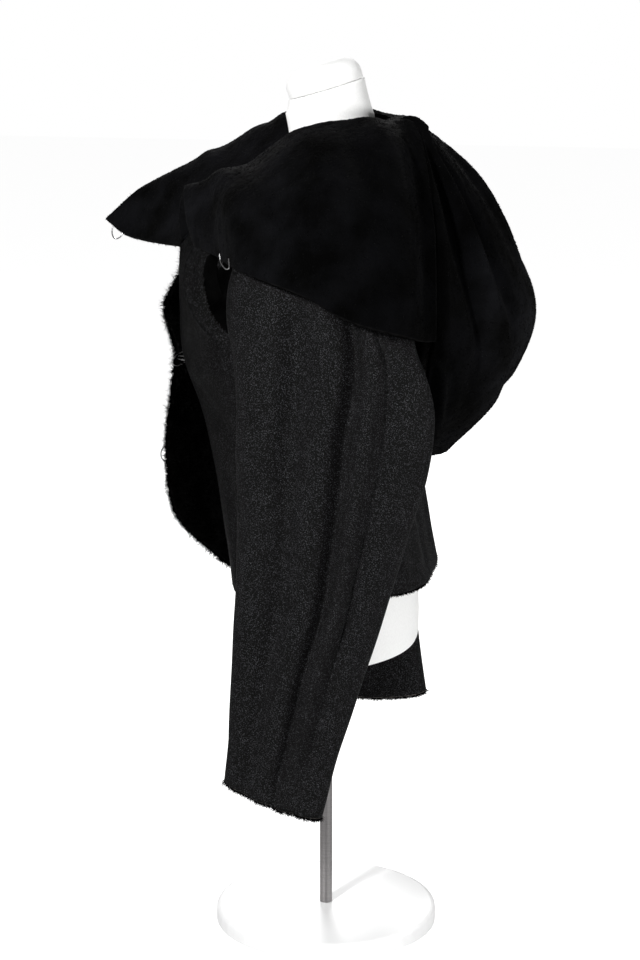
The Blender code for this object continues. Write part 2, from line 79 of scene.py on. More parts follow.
floor_mesh = bpy.data.meshes.new("floor")
floor_mesh.from_pydata([(-9, -9, 0), (9, -9, 0), (9, 9, 0), (-9, 9, 0)], [], [(0, 1, 2, 3)])
floor = bpy.data.objects.new("floor", floor_mesh)
bpy.context.scene.collection.objects.link(floor)
paper = bpy.data.materials.new("white paper")
paper.use_nodes = True
tree = paper.node_tree
shader = tree.nodes["Principled BSDF"]
shader.inputs["Base Color"].default_value = (0.5, 0.5, 0.5, 1.0)
shader.inputs["Roughness"].default_value = 0.9
shader.inputs["Emission Color"].default_value = (1.0, 1.0, 1.0, 1.0)
seen = tree.nodes.new("ShaderNodeLightPath")
glow = tree.nodes.new("ShaderNodeMapRange")
glow.inputs["To Min"].default_value = 0.0
glow.inputs["To Max"].default_value = 0.90
tree.links.new(seen.outputs["Is Camera Ray"], glow.inputs["Value"])
tree.links.new(glow.outputs["Result"], shader.inputs["Emission Strength"])
floor_mesh.materials.append(paper)

LAMPS = (
    # name, place, size, watts
    ("key lamp", (3.1, -1.2, 2.4), 0.5, 170.0),
    ("back lamp", (1.0, 3.2, 0.7), 0.8, 75.0),
    ("far lamp", (-2.6, -0.4, 2.0), 1.2, 60.0),
)
for name, place, size, watts in LAMPS:
    lamp = bpy.data.objects.new(name, bpy.data.lights.new(name, "AREA"))
    lamp.data.shape = "DISK"
    lamp.data.size = size
    lamp.data.energy = watts
    lamp.location = place
    away = np.array(place) - (0.0, 0.0, 0.8)
    lamp.rotation_euler = (
        math.atan2(math.hypot(away[0], away[1]), away[2]),
        0.0,
        math.atan2(away[0], -away[1]),
    )
    bpy.context.scene.collection.objects.link(lamp)


# Stand: a low white base, a brushed steel pole and the turned socket that carries the form. They are
# rigid and keep their solids, which get their finish here.
def finish(name, colour, roughness, metallic=0.0, specular=0.5):
    """A new Principled material, its tree and its shader."""
    made = bpy.data.materials.new(name)
    made.use_nodes = True
    shader = made.node_tree.nodes["Principled BSDF"]
    shader.inputs["Base Color"].default_value = (*colour, 1.0)
    shader.inputs["Roughness"].default_value = roughness
    shader.inputs["Metallic"].default_value = metallic
    shader.inputs["Specular IOR Level"].default_value = specular
    return made, made.node_tree, shader


def roughen(tree, shader, height, strength, depth):
    """Leads a height through a bump of that strength and depth in metres to the shader."""
    bump = tree.nodes.new("ShaderNodeBump")
    bump.inputs["Strength"].default_value = strength
    bump.inputs["Distance"].default_value = depth
    tree.links.new(height, bump.inputs["Height"])
    tree.links.new(bump.outputs["Normal"], shader.inputs["Normal"])


def grain(tree, scale, detail=3.0, stretch=(1, 1, 1)):
    """Noise over the object's own coordinates, stretched along its axes."""
    place = tree.nodes.new("ShaderNodeTexCoord")
    mapping = tree.nodes.new("ShaderNodeMapping")
    mapping.inputs["Scale"].default_value = stretch
    noise = tree.nodes.new("ShaderNodeTexNoise")
    noise.inputs["Scale"].default_value = scale
    noise.inputs["Detail"].default_value = detail
    tree.links.new(place.outputs["Object"], mapping.inputs["Vector"])
    tree.links.new(mapping.outputs["Vector"], noise.inputs["Vector"])
    return noise.outputs["Fac"]


def tint(tree, shader, factor, low, high, socket="Base Color"):
    """Leads a factor through a ramp from one colour to another to a shader's socket."""
    ramp = tree.nodes.new("ShaderNodeValToRGB")
    ramp.color_ramp.elements[0].position, ramp.color_ramp.elements[0].color = low[0], (*low[1], 1.0)
    ramp.color_ramp.elements[1].position, ramp.color_ramp.elements[1].color = high[0], (*high[1], 1.0)
    tree.links.new(factor, ramp.inputs["Fac"])
    tree.links.new(ramp.outputs["Color"], shader.inputs[socket])


def grey(value):
    return (value, value, value)


def coat(names, look):
    """Gives solids that the part keeps their finish."""
    for name in names:
        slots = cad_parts[name].data.materials
        slots.clear()
        slots.append(look)


steel, tree, shader = finish("brushed steel", grey(0.26), 0.34, 1.0)
lines = grain(tree, 60.0, 4.0, (1.0, 1.0, 60.0))
tint(tree, shader, lines, (0.3, (0.22, 0.21, 0.21)), (0.7, (0.31, 0.30, 0.30)))
roughen(tree, shader, lines, 0.25, 0.0004)
paint, tree, shader = finish("white enamel", grey(0.86), 0.4)
roughen(tree, shader, grain(tree, 500.0), 0.08, 0.0002)
coat(["stand_base"], paint)
coat(["stand_pole", "form_socket"], steel)


# Dress form: a limbless torso in white jersey over padding, cut at the neck, with a domed cap. A seam
# runs down the middle of the front and back and down each side, and one rings the neck below the cap.
FORM_SECTIONS = (
    # height, half width, depth in front, depth behind
    (0.400, 0.1450, 0.1030, 0.1150),
    (0.408, 0.1530, 0.1100, 0.1220),
    (0.450, 0.1590, 0.1120, 0.1230),
    (0.510, 0.1600, 0.1100, 0.1180),
    (0.600, 0.1460, 0.1000, 0.1040),
    (0.700, 0.1250, 0.0880, 0.0920),
    (0.780, 0.1300, 0.1000, 0.0950),
    (0.860, 0.1440, 0.1240, 0.1010),
    (0.930, 0.1500, 0.1200, 0.1020),
    (0.990, 0.1530, 0.0900, 0.0940),
    (1.030, 0.1450, 0.0640, 0.0800),
    (1.046, 0.1270, 0.0500, 0.0680),
    (1.060, 0.0955, 0.0440, 0.0620),
    (1.078, 0.0690, 0.0470, 0.0630),
    (1.100, 0.0580, 0.0520, 0.0610),
)
NECK_Z = 1.132
NECK_TILT = math.radians(17)
NECK_CUT = 0.0485
NECK_GAP = 0.0006
NECK_HOLLOW = 0.02
SEAM_DIP = 0.0012
SEAM_WIDTH = 0.0018
HALF_TORSO = 0.12


def weights(t, count):
    """Catmull-Rom weights of evenly spaced knots, one row for each t from 0 to 1."""
    at = t * (count - 1)
    first = np.clip(at.astype(int), 0, count - 2)
    s = at - first
    basis = (-s + 2 * s**2 - s**3, 2 - 5 * s**2 + 3 * s**3, s + 4 * s**2 - 3 * s**3, s**3 - s**2)
    rows = np.zeros((len(t), count + 2))
    for step, part in enumerate(basis):
        rows[np.arange(len(t)), first + step] += part / 2
    rows[:, 1] += 2 * rows[:, 0]
    rows[:, 2] -= rows[:, 0]
    rows[:, -2] += 2 * rows[:, -1]
    rows[:, -3] -= rows[:, -1]
    return rows[:, 1:-1]


def place_mesh(name, points, faces, looks, face_looks=None):
    """Puts arrays of points and faces into a smooth mesh object that rides on the part."""
    mesh = bpy.data.meshes.new(name)
    mesh.from_pydata(points.tolist(), [], faces if isinstance(faces, list) else faces.tolist())
    for look in looks:
        mesh.materials.append(look)
    if face_looks is not None:
        mesh.polygons.foreach_set("material_index", face_looks)
    mesh.shade_smooth()
    made = bpy.data.objects.new(name, mesh)
    bpy.context.scene.collection.objects.link(made)
    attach(made, "root")
    return made


def stacked(rings):
    """Quads between closed rings of points, one ring on the next, with both ends closed."""
    levels, sides = rings.shape[:2]
    index = np.arange(levels * sides).reshape(levels, sides)
    after = np.roll(index, -1, axis=1)
    quads = np.stack([index[:-1], after[:-1], after[1:], index[1:]], axis=-1).reshape(-1, 4)
    return quads.tolist() + [index[0, ::-1].tolist(), index[-1].tolist()]


jersey, tree, shader = finish("white jersey", grey(0.90), 0.85, specular=0.2)
shader.inputs["Sheen Weight"].default_value = 0.25
rib = grain(tree, 900.0, 2.0, (1.0, 1.0, 0.35))
tint(tree, shader, rib, (0.25, (0.84, 0.84, 0.83)), (0.75, (0.93, 0.93, 0.92)))
roughen(tree, shader, rib, 0.25, 0.0005)

angle = 2 * math.pi * np.arange(144) / 144
smooth = weights(np.linspace(0, 1, 141), len(FORM_SECTIONS)) @ np.array(FORM_SECTIONS)
height, half, ahead, behind = smooth.T[:, :, None]
reach = np.where(np.sin(angle) < 0, ahead, behind)
torso = np.stack([half * np.cos(angle), reach * np.sin(angle), height + 0 * angle], axis=-1)
neck_cut = np.stack([np.cos(angle), np.sin(angle), np.sin(angle) * math.tan(NECK_TILT)], axis=-1)
neck_cut = NECK_CUT * neck_cut + (0, 0, NECK_Z - NECK_GAP)
rise = np.linspace(0, 1, 13)[1:, None, None]
neck = torso[-1] + (neck_cut - torso[-1]) * rise
neck[:, :, :2] *= 1 - NECK_HOLLOW * np.sin(math.pi * rise)
torso = np.concatenate([torso, neck])
seam_angle = np.abs((angle + math.pi / 4) % (math.pi / 2) - math.pi / 4)
dip = SEAM_DIP * np.exp(-((seam_angle * HALF_TORSO / SEAM_WIDTH) ** 2))
torso[:, :, :2] *= (1 - dip / HALF_TORSO)[None, :, None]
body = place_mesh("form_torso", torso.reshape(-1, 3), stacked(torso), [jersey])
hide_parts("form_body")

tilt = np.array(
    [
        [1, 0, 0],
        [0, math.cos(NECK_TILT), -math.sin(NECK_TILT)],
        [0, math.sin(NECK_TILT), math.cos(NECK_TILT)],
    ]
)
arc = np.linspace(0, math.pi / 2, 14)
dome = np.stack([0.0272 + 0.022 * np.cos(arc), 0.010 + 0.022 * np.sin(arc)], axis=1)
lip = [(0.0470, 0.0), (0.0486, 0.0006), (0.0492, 0.0022)]
crown = [(0.020, 0.0324), (0.010, 0.0327)]
profile = np.concatenate([lip, dome, crown])
cap = np.stack(
    [profile[:, :1] * np.cos(angle), profile[:, :1] * np.sin(angle), profile[:, 1:] + 0 * angle], axis=-1
)
cap = cap @ tilt.T + (0, 0, NECK_Z)
lid = place_mesh("form_cap", cap.reshape(-1, 3), stacked(cap), [jersey])
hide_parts("form_neck_cap")

# Body of the jacket: a back and two fronts in black shearling, skin outside with a fine glint, clipped
# wool inside, every edge cut raw. They meet at side and shoulder seams and hang from the shoulders.
WALL = 0.006
SWELL = 0.0010
SWELL_SIZE = 0.11
NAP_INSIDE = 0.0012
NAP_OUTSIDE = 0.0005
NAP_SIZE = 0.014
SLOT_DEPTH = 0.009
ROUNDING = 0.0012
RIM_SHARE = 0.20
TAPER = 0.6
ROOT_DEPTH = 0.0006
PATCH = 0.035
KNOTS = 41
CUT_KNOTS = 81
BACK = (
    # half of the back from the hem up: middle, then three places out to the side seam and armhole
    ((0.000, 0.140, 0.498), (0.075, 0.136, 0.500), (0.140, 0.108, 0.506), (0.186, 0.040, 0.506)),
    ((0.000, 0.127, 0.560), (0.075, 0.124, 0.560), (0.138, 0.099, 0.565), (0.182, 0.036, 0.565)),
    ((0.000, 0.115, 0.650), (0.073, 0.112, 0.650), (0.134, 0.088, 0.650), (0.178, 0.032, 0.650)),
    ((0.000, 0.120, 0.730), (0.073, 0.117, 0.730), (0.134, 0.090, 0.730), (0.179, 0.030, 0.730)),
    ((0.000, 0.131, 0.800), (0.075, 0.128, 0.800), (0.138, 0.099, 0.800), (0.184, 0.037, 0.800)),
    ((0.000, 0.132, 0.880), (0.072, 0.130, 0.880), (0.126, 0.120, 0.875), (0.166, 0.111, 0.870)),
    ((0.000, 0.122, 0.955), (0.070, 0.120, 0.955), (0.122, 0.116, 0.950), (0.164, 0.115, 0.945)),
    ((0.000, 0.106, 1.025), (0.060, 0.102, 1.025), (0.116, 0.090, 1.024), (0.175, 0.089, 1.002)),
    ((0.000, 0.089, 1.080), (0.050, 0.074, 1.083), (0.090, 0.013, 1.084), (0.186, 0.030, 1.032)),
)
LEFT_FRONT = (
    # the front from the hem up: free edge, then three places out to the side seam and armhole
    ((0.088, -0.106, 0.494), (0.128, -0.090, 0.494), (0.167, -0.045, 0.498), (0.186, 0.039, 0.500)),
    ((0.074, -0.118, 0.560), (0.119, -0.100, 0.560), (0.162, -0.050, 0.562), (0.182, 0.035, 0.565)),
    ((0.046, -0.137, 0.645), (0.101, -0.114, 0.650), (0.154, -0.062, 0.650), (0.178, 0.031, 0.650)),
    ((0.022, -0.160, 0.715), (0.086, -0.130, 0.725), (0.150, -0.074, 0.730), (0.179, 0.029, 0.730)),
    ((0.006, -0.188, 0.785), (0.074, -0.155, 0.795), (0.146, -0.096, 0.800), (0.184, 0.022, 0.800)),
    ((0.008, -0.191, 0.850), (0.076, -0.165, 0.862), (0.138, -0.122, 0.868), (0.166, -0.051, 0.870)),
    ((0.012, -0.190, 0.895), (0.076, -0.160, 0.920), (0.133, -0.120, 0.938), (0.164, -0.055, 0.945)),
    ((0.017, -0.188, 0.920), (0.071, -0.131, 0.968), (0.122, -0.062, 1.024), (0.175, -0.029, 1.002)),
    ((0.020, -0.187, 0.930), (0.064, -0.105, 1.004), (0.090, 0.013, 1.084), (0.186, 0.030, 1.032)),
)
RIGHT_FRONT = (
    # likewise and mirrored, standing further forward above and below the waist hook
    ((0.062, -0.150, 0.480), (0.112, -0.124, 0.484), (0.164, -0.060, 0.492), (0.186, 0.039, 0.500)),
    ((0.042, -0.212, 0.550), (0.102, -0.156, 0.556), (0.160, -0.075, 0.560), (0.182, 0.035, 0.565)),
    ((0.030, -0.221, 0.645), (0.092, -0.164, 0.650), (0.156, -0.084, 0.650), (0.178, 0.031, 0.650)),
    ((0.020, -0.212, 0.715), (0.086, -0.158, 0.725), (0.151, -0.084, 0.730), (0.179, 0.029, 0.730)),
    ((0.007, -0.202, 0.780), (0.076, -0.156, 0.795), (0.146, -0.096, 0.800), (0.184, 0.022, 0.800)),
    ((0.016, -0.217, 0.840), (0.078, -0.166, 0.860), (0.138, -0.122, 0.868), (0.166, -0.051, 0.870)),
    ((0.016, -0.195, 0.890), (0.077, -0.159, 0.918), (0.133, -0.120, 0.938), (0.164, -0.055, 0.945)),
    ((0.017, -0.190, 0.916), (0.071, -0.131, 0.968), (0.122, -0.062, 1.024), (0.175, -0.029, 1.002)),
    ((0.020, -0.188, 0.930), (0.064, -0.105, 1.004), (0.090, 0.013, 1.084), (0.186, 0.030, 1.032)),
)
ARMHOLE_TOP = 7 / 9
SHOULDER = 8 / 9


def patch(rows, side=1):
    """The smooth surface through a table of points: u runs down its rows and v along each row."""
    table = np.array(rows) * (side, 1, 1)

    def surface(u, v):
        return np.einsum("ni,nj,ijk->nk", weights(u, len(table)), weights(v, table.shape[1]), table)

    return surface


def run_on(table):
    """A table with one more column, which carries on as the table ends."""
    table = np.array(table)
    column = 2 * table[:, -1] - table[:, -2]
    return np.concatenate([table, column[:, None]], axis=1)


def panel(table, neighbour):
    """A front's or the back's table with a column past its side seam and a row past its shoulder seam."""
    wide = run_on(table)
    beside = np.array(neighbour)
    wide[:5, -1] = beside[:5, -2]
    row = 2 * wide[-1] - wide[-2]
    row[2:4] = beside[-2, 2:4]
    return np.concatenate([wide, row[None]])


def shouldered(surface, spans):
    """Draws a panel's top row onto a straight shoulder seam over each span of v."""

    def drawn(u, v):
        points = surface(u, v)
        up = np.clip((u - ARMHOLE_TOP) / (SHOULDER - ARMHOLE_TOP), 0, 1)
        edge = surface(np.full(len(v), SHOULDER), v)
        for low, high in spans:
            along = (v - low) / (high - low)
            ends = surface(np.full(2, SHOULDER), np.array([low, high]))
            pull = ends[0] + along[:, None] * (ends[1] - ends[0]) - edge
            pull *= (up**2 * (3 - 2 * up) * (abs(along - 0.5) < 0.5))[:, None]
            points += pull
        return points

    return drawn


def facing(surface, u, v, outside):
    """The surface's unit normals at u and v, on its skin side or, for collars and hood, its wool side."""
    step = 1e-4
    across = surface(u + step, v) - surface(u - step, v)
    along = surface(u, v + step) - surface(u, v - step)
    normal = outside * np.cross(across, along)
    return normal / np.linalg.norm(normal, axis=1, keepdims=True)


def mottle(points, size):
    """Even, soft unevenness from -1 to 1: the mean of six crossed sine waves about that size long."""
    wanted = np.random.default_rng(7)
    total = np.zeros(len(points))
    for _ in range(6):
        direction = wanted.normal(size=3)
        direction *= 2 * math.pi / size / np.linalg.norm(direction) * wanted.uniform(0.7, 1.4)
        total += np.sin(points @ direction + wanted.uniform(0, 6.28))
    return total / 6 * 1.6


def folds(surface, table):
    """Relief from listed creases: each is a soft trough or ridge along a smooth line.

    A row holds the depth (below 0 for a trough), the width and the line's places in u and v. The relief
    is depth x (sine of the way along) to the power TAPER x exp(-(distance / width) squared).
    """
    lines = []
    for depth, width, places in table:
        s = np.linspace(0, 1, 121)
        path = weights(s, len(places)) @ np.array(places, float)
        lines.append((depth, width, surface(path[:, 0], path[:, 1]), np.sin(math.pi * s) ** TAPER))

    def relief(points):
        total = np.zeros(len(points))
        for depth, width, line, taper in lines:
            near = np.flatnonzero(
                np.all((points > line.min(0) - 3 * width) & (points < line.max(0) + 3 * width), axis=1)
            )
            if len(near):
                gap = np.linalg.norm(points[near, None] - line[None], axis=2)
                closest = gap.argmin(1)
                away = gap[np.arange(len(near)), closest]
                total[near] += depth * taper[closest] * np.exp(-((away / width) ** 2))
        return total

    return relief


def shearling(name, node, surface, spans, cells, outside, looks, raw, relief, turned=None):
    """A cut piece of shearling: a closed shell about a surface, with its creases on both faces.

    The face towards `outside` is the middle surface plus half the wall plus the relief. The other face
    follows it at the wall's depth. The woolly face also gets small lumps. Skin sunk below SLOT_DEPTH
    takes the second look, the darker wool, as painted shade. The rim is a little rounded: it shows the
    cut where `raw` says so, for the sides v = low, u = high, v = high and u = low, and elsewhere it lies
    in a seam. Where `turned` is true of u and v, the other face shows the first one's look, as a rolled
    edge does.
    """
    (u0, u1), (v0, v1) = spans
    columns, rows = cells
    grid = np.meshgrid(np.linspace(u0, u1, columns + 1), np.linspace(v0, v1, rows + 1), indexing="ij")
    u, v = grid[0].ravel(), grid[1].ravel()
    middle = surface(u, v)
    normal = facing(surface, u, v, outside)
    bend = relief(middle) + SWELL * mottle(middle, SWELL_SIZE)
    wool_out = looks[0] is wool
    lumps = (NAP_OUTSIDE if wool_out else NAP_INSIDE) * mottle(middle, NAP_SIZE)
    top = middle + normal * (WALL / 2 + bend + (lumps if wool_out else 0))[:, None]
    low = middle + normal * (bend - WALL / 2 - (0 if wool_out else lumps))[:, None]
    index = np.arange(len(u)).reshape(columns + 1, rows + 1)
    corners = [index[:-1, :-1], index[1:, :-1], index[1:, 1:], index[:-1, 1:]]
    front = np.stack([corner.ravel() for corner in corners], axis=1)
    back = front[:, ::-1] + len(u)
    rims = [index[:-1, 0], index[-1, :-1], index[:0:-1, -1], index[0, :0:-1]]
    rim = np.concatenate(rims)
    inner = [index[:-1, 1], index[-2, :-1], index[:0:-1, -2], index[1, :0:-1]]
    out = middle[rim] - middle[np.concatenate(inner)]
    out *= ROUNDING / np.linalg.norm(out, axis=1, keepdims=True)
    out *= np.concatenate([np.full(len(side), is_raw) for side, is_raw in zip(rims, raw)])[:, None]
    edge = 2 * len(u) + np.arange(2 * len(rim)).reshape(2, -1)
    shares = [1 - RIM_SHARE, RIM_SHARE]
    bulge = np.concatenate([top[rim] * share + low[rim] * rest for share, rest in zip(shares, shares[::-1])])
    bulge += np.tile(out, (2, 1))
    strips = []
    rings = [rim, edge[0], edge[1], rim + len(u)]
    for one, other in zip(rings, rings[1:]):
        strips.append(np.stack([one, other, np.roll(other, -1), np.roll(one, -1)], axis=1))
    faces = np.concatenate([front, back, *strips])[:, ::outside]
    cut = np.concatenate([np.full(len(side), 2 if is_raw else 0) for side, is_raw in zip(rims, raw)])
    corner = front[:, 0]
    other = np.ones(len(back))
    if turned is not None:
        other[turned(u[corner], v[corner])] = 0
    # Painted shade: skin sunk deeper than SLOT_DEPTH takes the darker wool's look.
    slot_in_shade = (bend[corner] < -SLOT_DEPTH) & (not wool_out)
    kinds = np.concatenate([slot_in_shade, other, cut, cut, cut])
    made = place_mesh(name, np.concatenate([top, low, bulge]), faces, looks, kinds.astype(np.int32))
    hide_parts(node)
    return made


def cut_flat(surface, spans):
    """Evaluates a piece's surface on a grid of CUT_KNOTS by CUT_KNOTS points over its spans and keeps
    nothing of them.
    """
    us, vs = (np.linspace(*span, CUT_KNOTS) for span in spans)
    grid = np.meshgrid(us, vs, indexing="ij")
    points = surface(grid[0].ravel(), grid[1].ravel()).reshape(CUT_KNOTS, CUT_KNOTS, 3)


def locks(name, roots, normals, lean, length, width, look, seed):
    """Wool as many short locks, each a bent spike with three sides.

    A lock leaves its root along the normal and bends towards its own lean. Its middle stands 0.55 of its
    length above the root and its tip 0.80, and it narrows to a point.
    """
    dice = np.random.default_rng(seed)
    count = len(roots)
    around = np.cross(normals, dice.normal(size=(count, 3)))
    around /= np.linalg.norm(around, axis=1, keepdims=True)
    beside = np.cross(normals, around)
    length = (length * dice.uniform(0.6, 1.3, count))[:, None]
    width = (width * dice.uniform(0.7, 1.3, count))[:, None]
    middle = roots + normals * length * 0.55 + lean * length * 0.30
    tip = roots + normals * length * 0.80 + lean * length * 0.95
    turns = 2 * math.pi * np.arange(3) / 3
    rings = []
    for centre, size in ((roots, 1.0), (middle, 0.75)):
        for t in turns:
            rings.append(centre + (around * math.cos(t) + beside * math.sin(t)) * width * size / 2)
    points = np.stack([*rings, tip], axis=1).reshape(-1, 3)
    pattern = [(0, 2, 1), (3, 4, 6), (4, 5, 6), (5, 3, 6)]
    quads = [(0, 1, 4, 3), (1, 2, 5, 4), (2, 0, 3, 5)]
    base = 7 * np.arange(count)[:, None, None]
    faces = (np.array(pattern)[None] + base).reshape(-1, 3).tolist()
    faces += (np.array(quads)[None] + base).reshape(-1, 4).tolist()
    made = place_mesh(name, points, faces, [look])
    return made


def strewn(surface, spans, count, seed):
    """Places in u and v, spread at random in proportion to the surface's area."""
    dice = np.random.default_rng(seed)
    (u0, u1), (v0, v1) = spans
    us, vs = np.linspace(u0, u1, KNOTS), np.linspace(v0, v1, KNOTS)
    grid = np.meshgrid(us, vs, indexing="ij")
    knots = surface(grid[0].ravel(), grid[1].ravel()).reshape(KNOTS, KNOTS, 3)
    sides = np.cross(knots[1:, :-1] - knots[:-1, :-1], knots[:-1, 1:] - knots[:-1, :-1])
    share = np.linalg.norm(sides, axis=2).ravel()
    cell = dice.choice(len(share), count, p=share / share.sum())
    u = us[cell // (KNOTS - 1)] + dice.uniform(0, 1, count) * (us[1] - us[0])
    v = vs[cell % (KNOTS - 1)] + dice.uniform(0, 1, count) * (vs[1] - vs[0])
    return u, v


def pile(name, surface, spans, count, outside, relief, length, width, look, seed, face=1):
    """Clipped wool over a face of a piece: locks that lean together in patches about PATCH wide."""
    u, v = strewn(surface, spans, count, seed)
    middle = surface(u, v)
    normal = facing(surface, u, v, outside)
    roots = middle + normal * (relief(middle) + SWELL * mottle(middle, SWELL_SIZE))[:, None]
    roots += face * normal * (WALL / 2 - ROOT_DEPTH)
    dice = np.random.default_rng(seed + 1)
    way = math.pi * mottle(middle, PATCH) + dice.normal(0, 0.5, count)
    first = np.cross(normal, (0.3, 0.5, 0.81))
    first /= np.linalg.norm(first, axis=1, keepdims=True)
    second = np.cross(normal, first)
    lean = first * np.cos(way)[:, None] + second * np.sin(way)[:, None]
    return locks(name, roots, face * normal, lean * 0.8, length, width, look, seed + 2)


def fringe(name, surface, lines, outside, relief, count, length, width, look, seed):
    """Wool that stands past a raw edge: locks rooted in the cut, pointing outwards.

    A line is the edge's ends in u and v and the way out from it in u and v.
    """
    dice = np.random.default_rng(seed)
    roots, ways, leans = [], [], []
    steps = [np.diff(surface(*np.linspace(start, end, 40).T), axis=0) for start, end, _ in lines]
    spans = [np.linalg.norm(step, axis=1).sum() for step in steps]
    for (start, end, out), span in zip(lines, spans):
        share = int(count * span / sum(spans))
        s = dice.uniform(0, 1, share)[:, None]
        place = np.array(start) * (1 - s) + np.array(end) * s
        middle = surface(*place.T)
        normal = facing(surface, *place.T, outside)
        inner = place - np.array(out) * 0.002
        way = middle - surface(*inner.T)
        way /= np.linalg.norm(way, axis=1, keepdims=True)
        depth = dice.uniform(-0.42, 0.30, share) * WALL
        roots.append(middle + normal * (relief(middle) + depth)[:, None] - way * 0.001)
        side = np.cross(way, normal)
        way = way + side * dice.normal(0, 0.35, share)[:, None]
        way = way + normal * dice.normal(-0.1, 0.35, share)[:, None]
        ways.append(way / np.linalg.norm(way, axis=1, keepdims=True))
        aside = side * dice.normal(0, 0.5, share)[:, None]
        leans.append(aside - normal * dice.normal(0, 0.4, share)[:, None])
    places = [np.concatenate(each) for each in (roots, ways, leans)]
    return locks(name, *places, length, width, look, seed + 1)


def painted_light_and_shade(tree, shader, stops):
    """Scales a colour by its place from front to back of the jacket: stops of y and share.

    The stops were tuned until tones matched the photograph from its angle, and they paint light and shade
    into the colour, not the real colour.
    """
    link = shader.inputs["Base Color"].links[0]
    place = tree.nodes.new("ShaderNodeTexCoord")
    apart = tree.nodes.new("ShaderNodeSeparateXYZ")
    span = tree.nodes.new("ShaderNodeMapRange")
    span.inputs["From Min"].default_value = stops[0][0]
    span.inputs["From Max"].default_value = stops[-1][0]
    ramp = tree.nodes.new("ShaderNodeValToRGB")
    ramp.color_ramp.interpolation = "EASE"
    while len(ramp.color_ramp.elements) < len(stops):
        ramp.color_ramp.elements.new(0.5)
    for element, (y, share) in zip(ramp.color_ramp.elements, stops):
        element.position = (y - stops[0][0]) / (stops[-1][0] - stops[0][0])
        element.color = (*grey(share), 1.0)
    product = tree.nodes.new("ShaderNodeMix")
    product.data_type = "RGBA"
    product.blend_type = "MULTIPLY"
    product.inputs["Factor"].default_value = 1.0
    tree.links.new(place.outputs["Object"], apart.inputs["Vector"])
    tree.links.new(apart.outputs["Y"], span.inputs["Value"])
    tree.links.new(span.outputs["Result"], ramp.inputs["Fac"])
    tree.links.new(link.from_socket, product.inputs[6])
    tree.links.new(ramp.outputs["Color"], product.inputs[7])
    tree.links.new(product.outputs[2], shader.inputs["Base Color"])


# The finest cells pick at random which specks of the skin glint, and a slow grain makes them sparser or
# denser. The glints are painted: those specks get a colour over ten times lighter and a lower roughness.
# The same cells roughen the skin.
skin, tree, shader = finish("black skin with painted glints", grey(0.004), 0.6, specular=0.03)
place = tree.nodes.new("ShaderNodeTexCoord")
cells = tree.nodes.new("ShaderNodeTexVoronoi")
cells.inputs["Scale"].default_value = 1500.0
tree.links.new(place.outputs["Object"], cells.inputs["Vector"])
pick = tree.nodes.new("ShaderNodeSeparateColor")
tree.links.new(cells.outputs["Color"], pick.inputs["Color"])
denser = tree.nodes.new("ShaderNodeMath")
denser.operation = "MULTIPLY_ADD"
denser.inputs[1].default_value = -0.12
tree.links.new(grain(tree, 30.0, 4.0), denser.inputs[0])
tree.links.new(pick.outputs["Red"], denser.inputs[2])
# Painted glints: the picked specks get a colour over ten times lighter than the skin.
tint(tree, shader, denser.outputs["Value"], (0.78, grey(0.0042)), (0.93, (0.058, 0.058, 0.063)))
# Painted shade: the skin of the fronts is about half as light as at the sides and back.
painted_light_and_shade(tree, shader, ((-0.20, 0.46), (-0.125, 0.52), (-0.050, 1.0), (0.16, 1.0)))
rough = tree.nodes.new("ShaderNodeMapRange")
rough.inputs["From Min"].default_value = 0.75
rough.inputs["To Min"].default_value = 0.70
rough.inputs["To Max"].default_value = 0.38
tree.links.new(pick.outputs["Red"], rough.inputs["Value"])
tree.links.new(rough.outputs["Result"], shader.inputs["Roughness"])
creasing = tree.nodes.new("ShaderNodeMath")
creasing.operation = "ADD"
tree.links.new(grain(tree, 420.0, 5.0), creasing.inputs[0])
tree.links.new(pick.outputs["Green"], creasing.inputs[1])
roughen(tree, shader, creasing.outputs["Value"], 0.20, 0.0005)

wool, tree, shader = finish("black wool", grey(0.003), 0.95, specular=0.01)
shader.inputs["Sheen Weight"].default_value = 0.016
shader.inputs["Sheen Roughness"].default_value = 0.45
# Patches lighter and darker at random: partly the wool's own tone, partly painted sheen of its nap.
tint(tree, shader, grain(tree, 19.0, 8.0), (0.36, grey(0.0012)), (0.68, (0.0047, 0.0048, 0.0056)))
roughen(tree, shader, grain(tree, 240.0, 6.0), 0.55, 0.0020)
# Painted light and shade: the wool is darkest near the back of the neck and twice as light on the hood's
# farthest bulge.
painted_light_and_shade(
    tree, shader,
    ((-0.33, 0.80), (-0.15, 1.10), (-0.08, 0.95), (0.02, 0.65), (0.12, 0.40), (0.20, 0.45), (0.245, 1.1),
     (0.28, 2.1)),
)
# Painted shade: a darker copy of the black wool, for the inner faces of back, fronts and sleeves, the
# fronts' piles, some fringes and the sunk slots, where the wool lies in shade.
shaded_wool, tree, shader = finish("black wool with painted shade", grey(0.0012), 0.95, specular=0.0)
tint(tree, shader, grain(tree, 40.0, 6.0), (0.36, grey(0.0005)), (0.68, grey(0.0020)))
roughen(tree, shader, grain(tree, 240.0, 6.0), 0.55, 0.0020)

hide, tree, shader = finish("pale cut edge", (0.060, 0.052, 0.047), 0.85, specular=0.2)
tint(tree, shader, grain(tree, 180.0, 5.0), (0.40, (0.012, 0.011, 0.011)), (0.66, (0.150, 0.135, 0.122)))
roughen(tree, shader, grain(tree, 900.0, 3.0), 0.6, 0.0008)
dark_hide, tree, shader = finish("dark cut edge", grey(0.004), 0.9, specular=0.02)
tint(tree, shader, grain(tree, 120.0, 5.0), (0.40, grey(0.002)), (0.70, grey(0.006)))
roughen(tree, shader, grain(tree, 900.0, 3.0), 0.6, 0.0008)

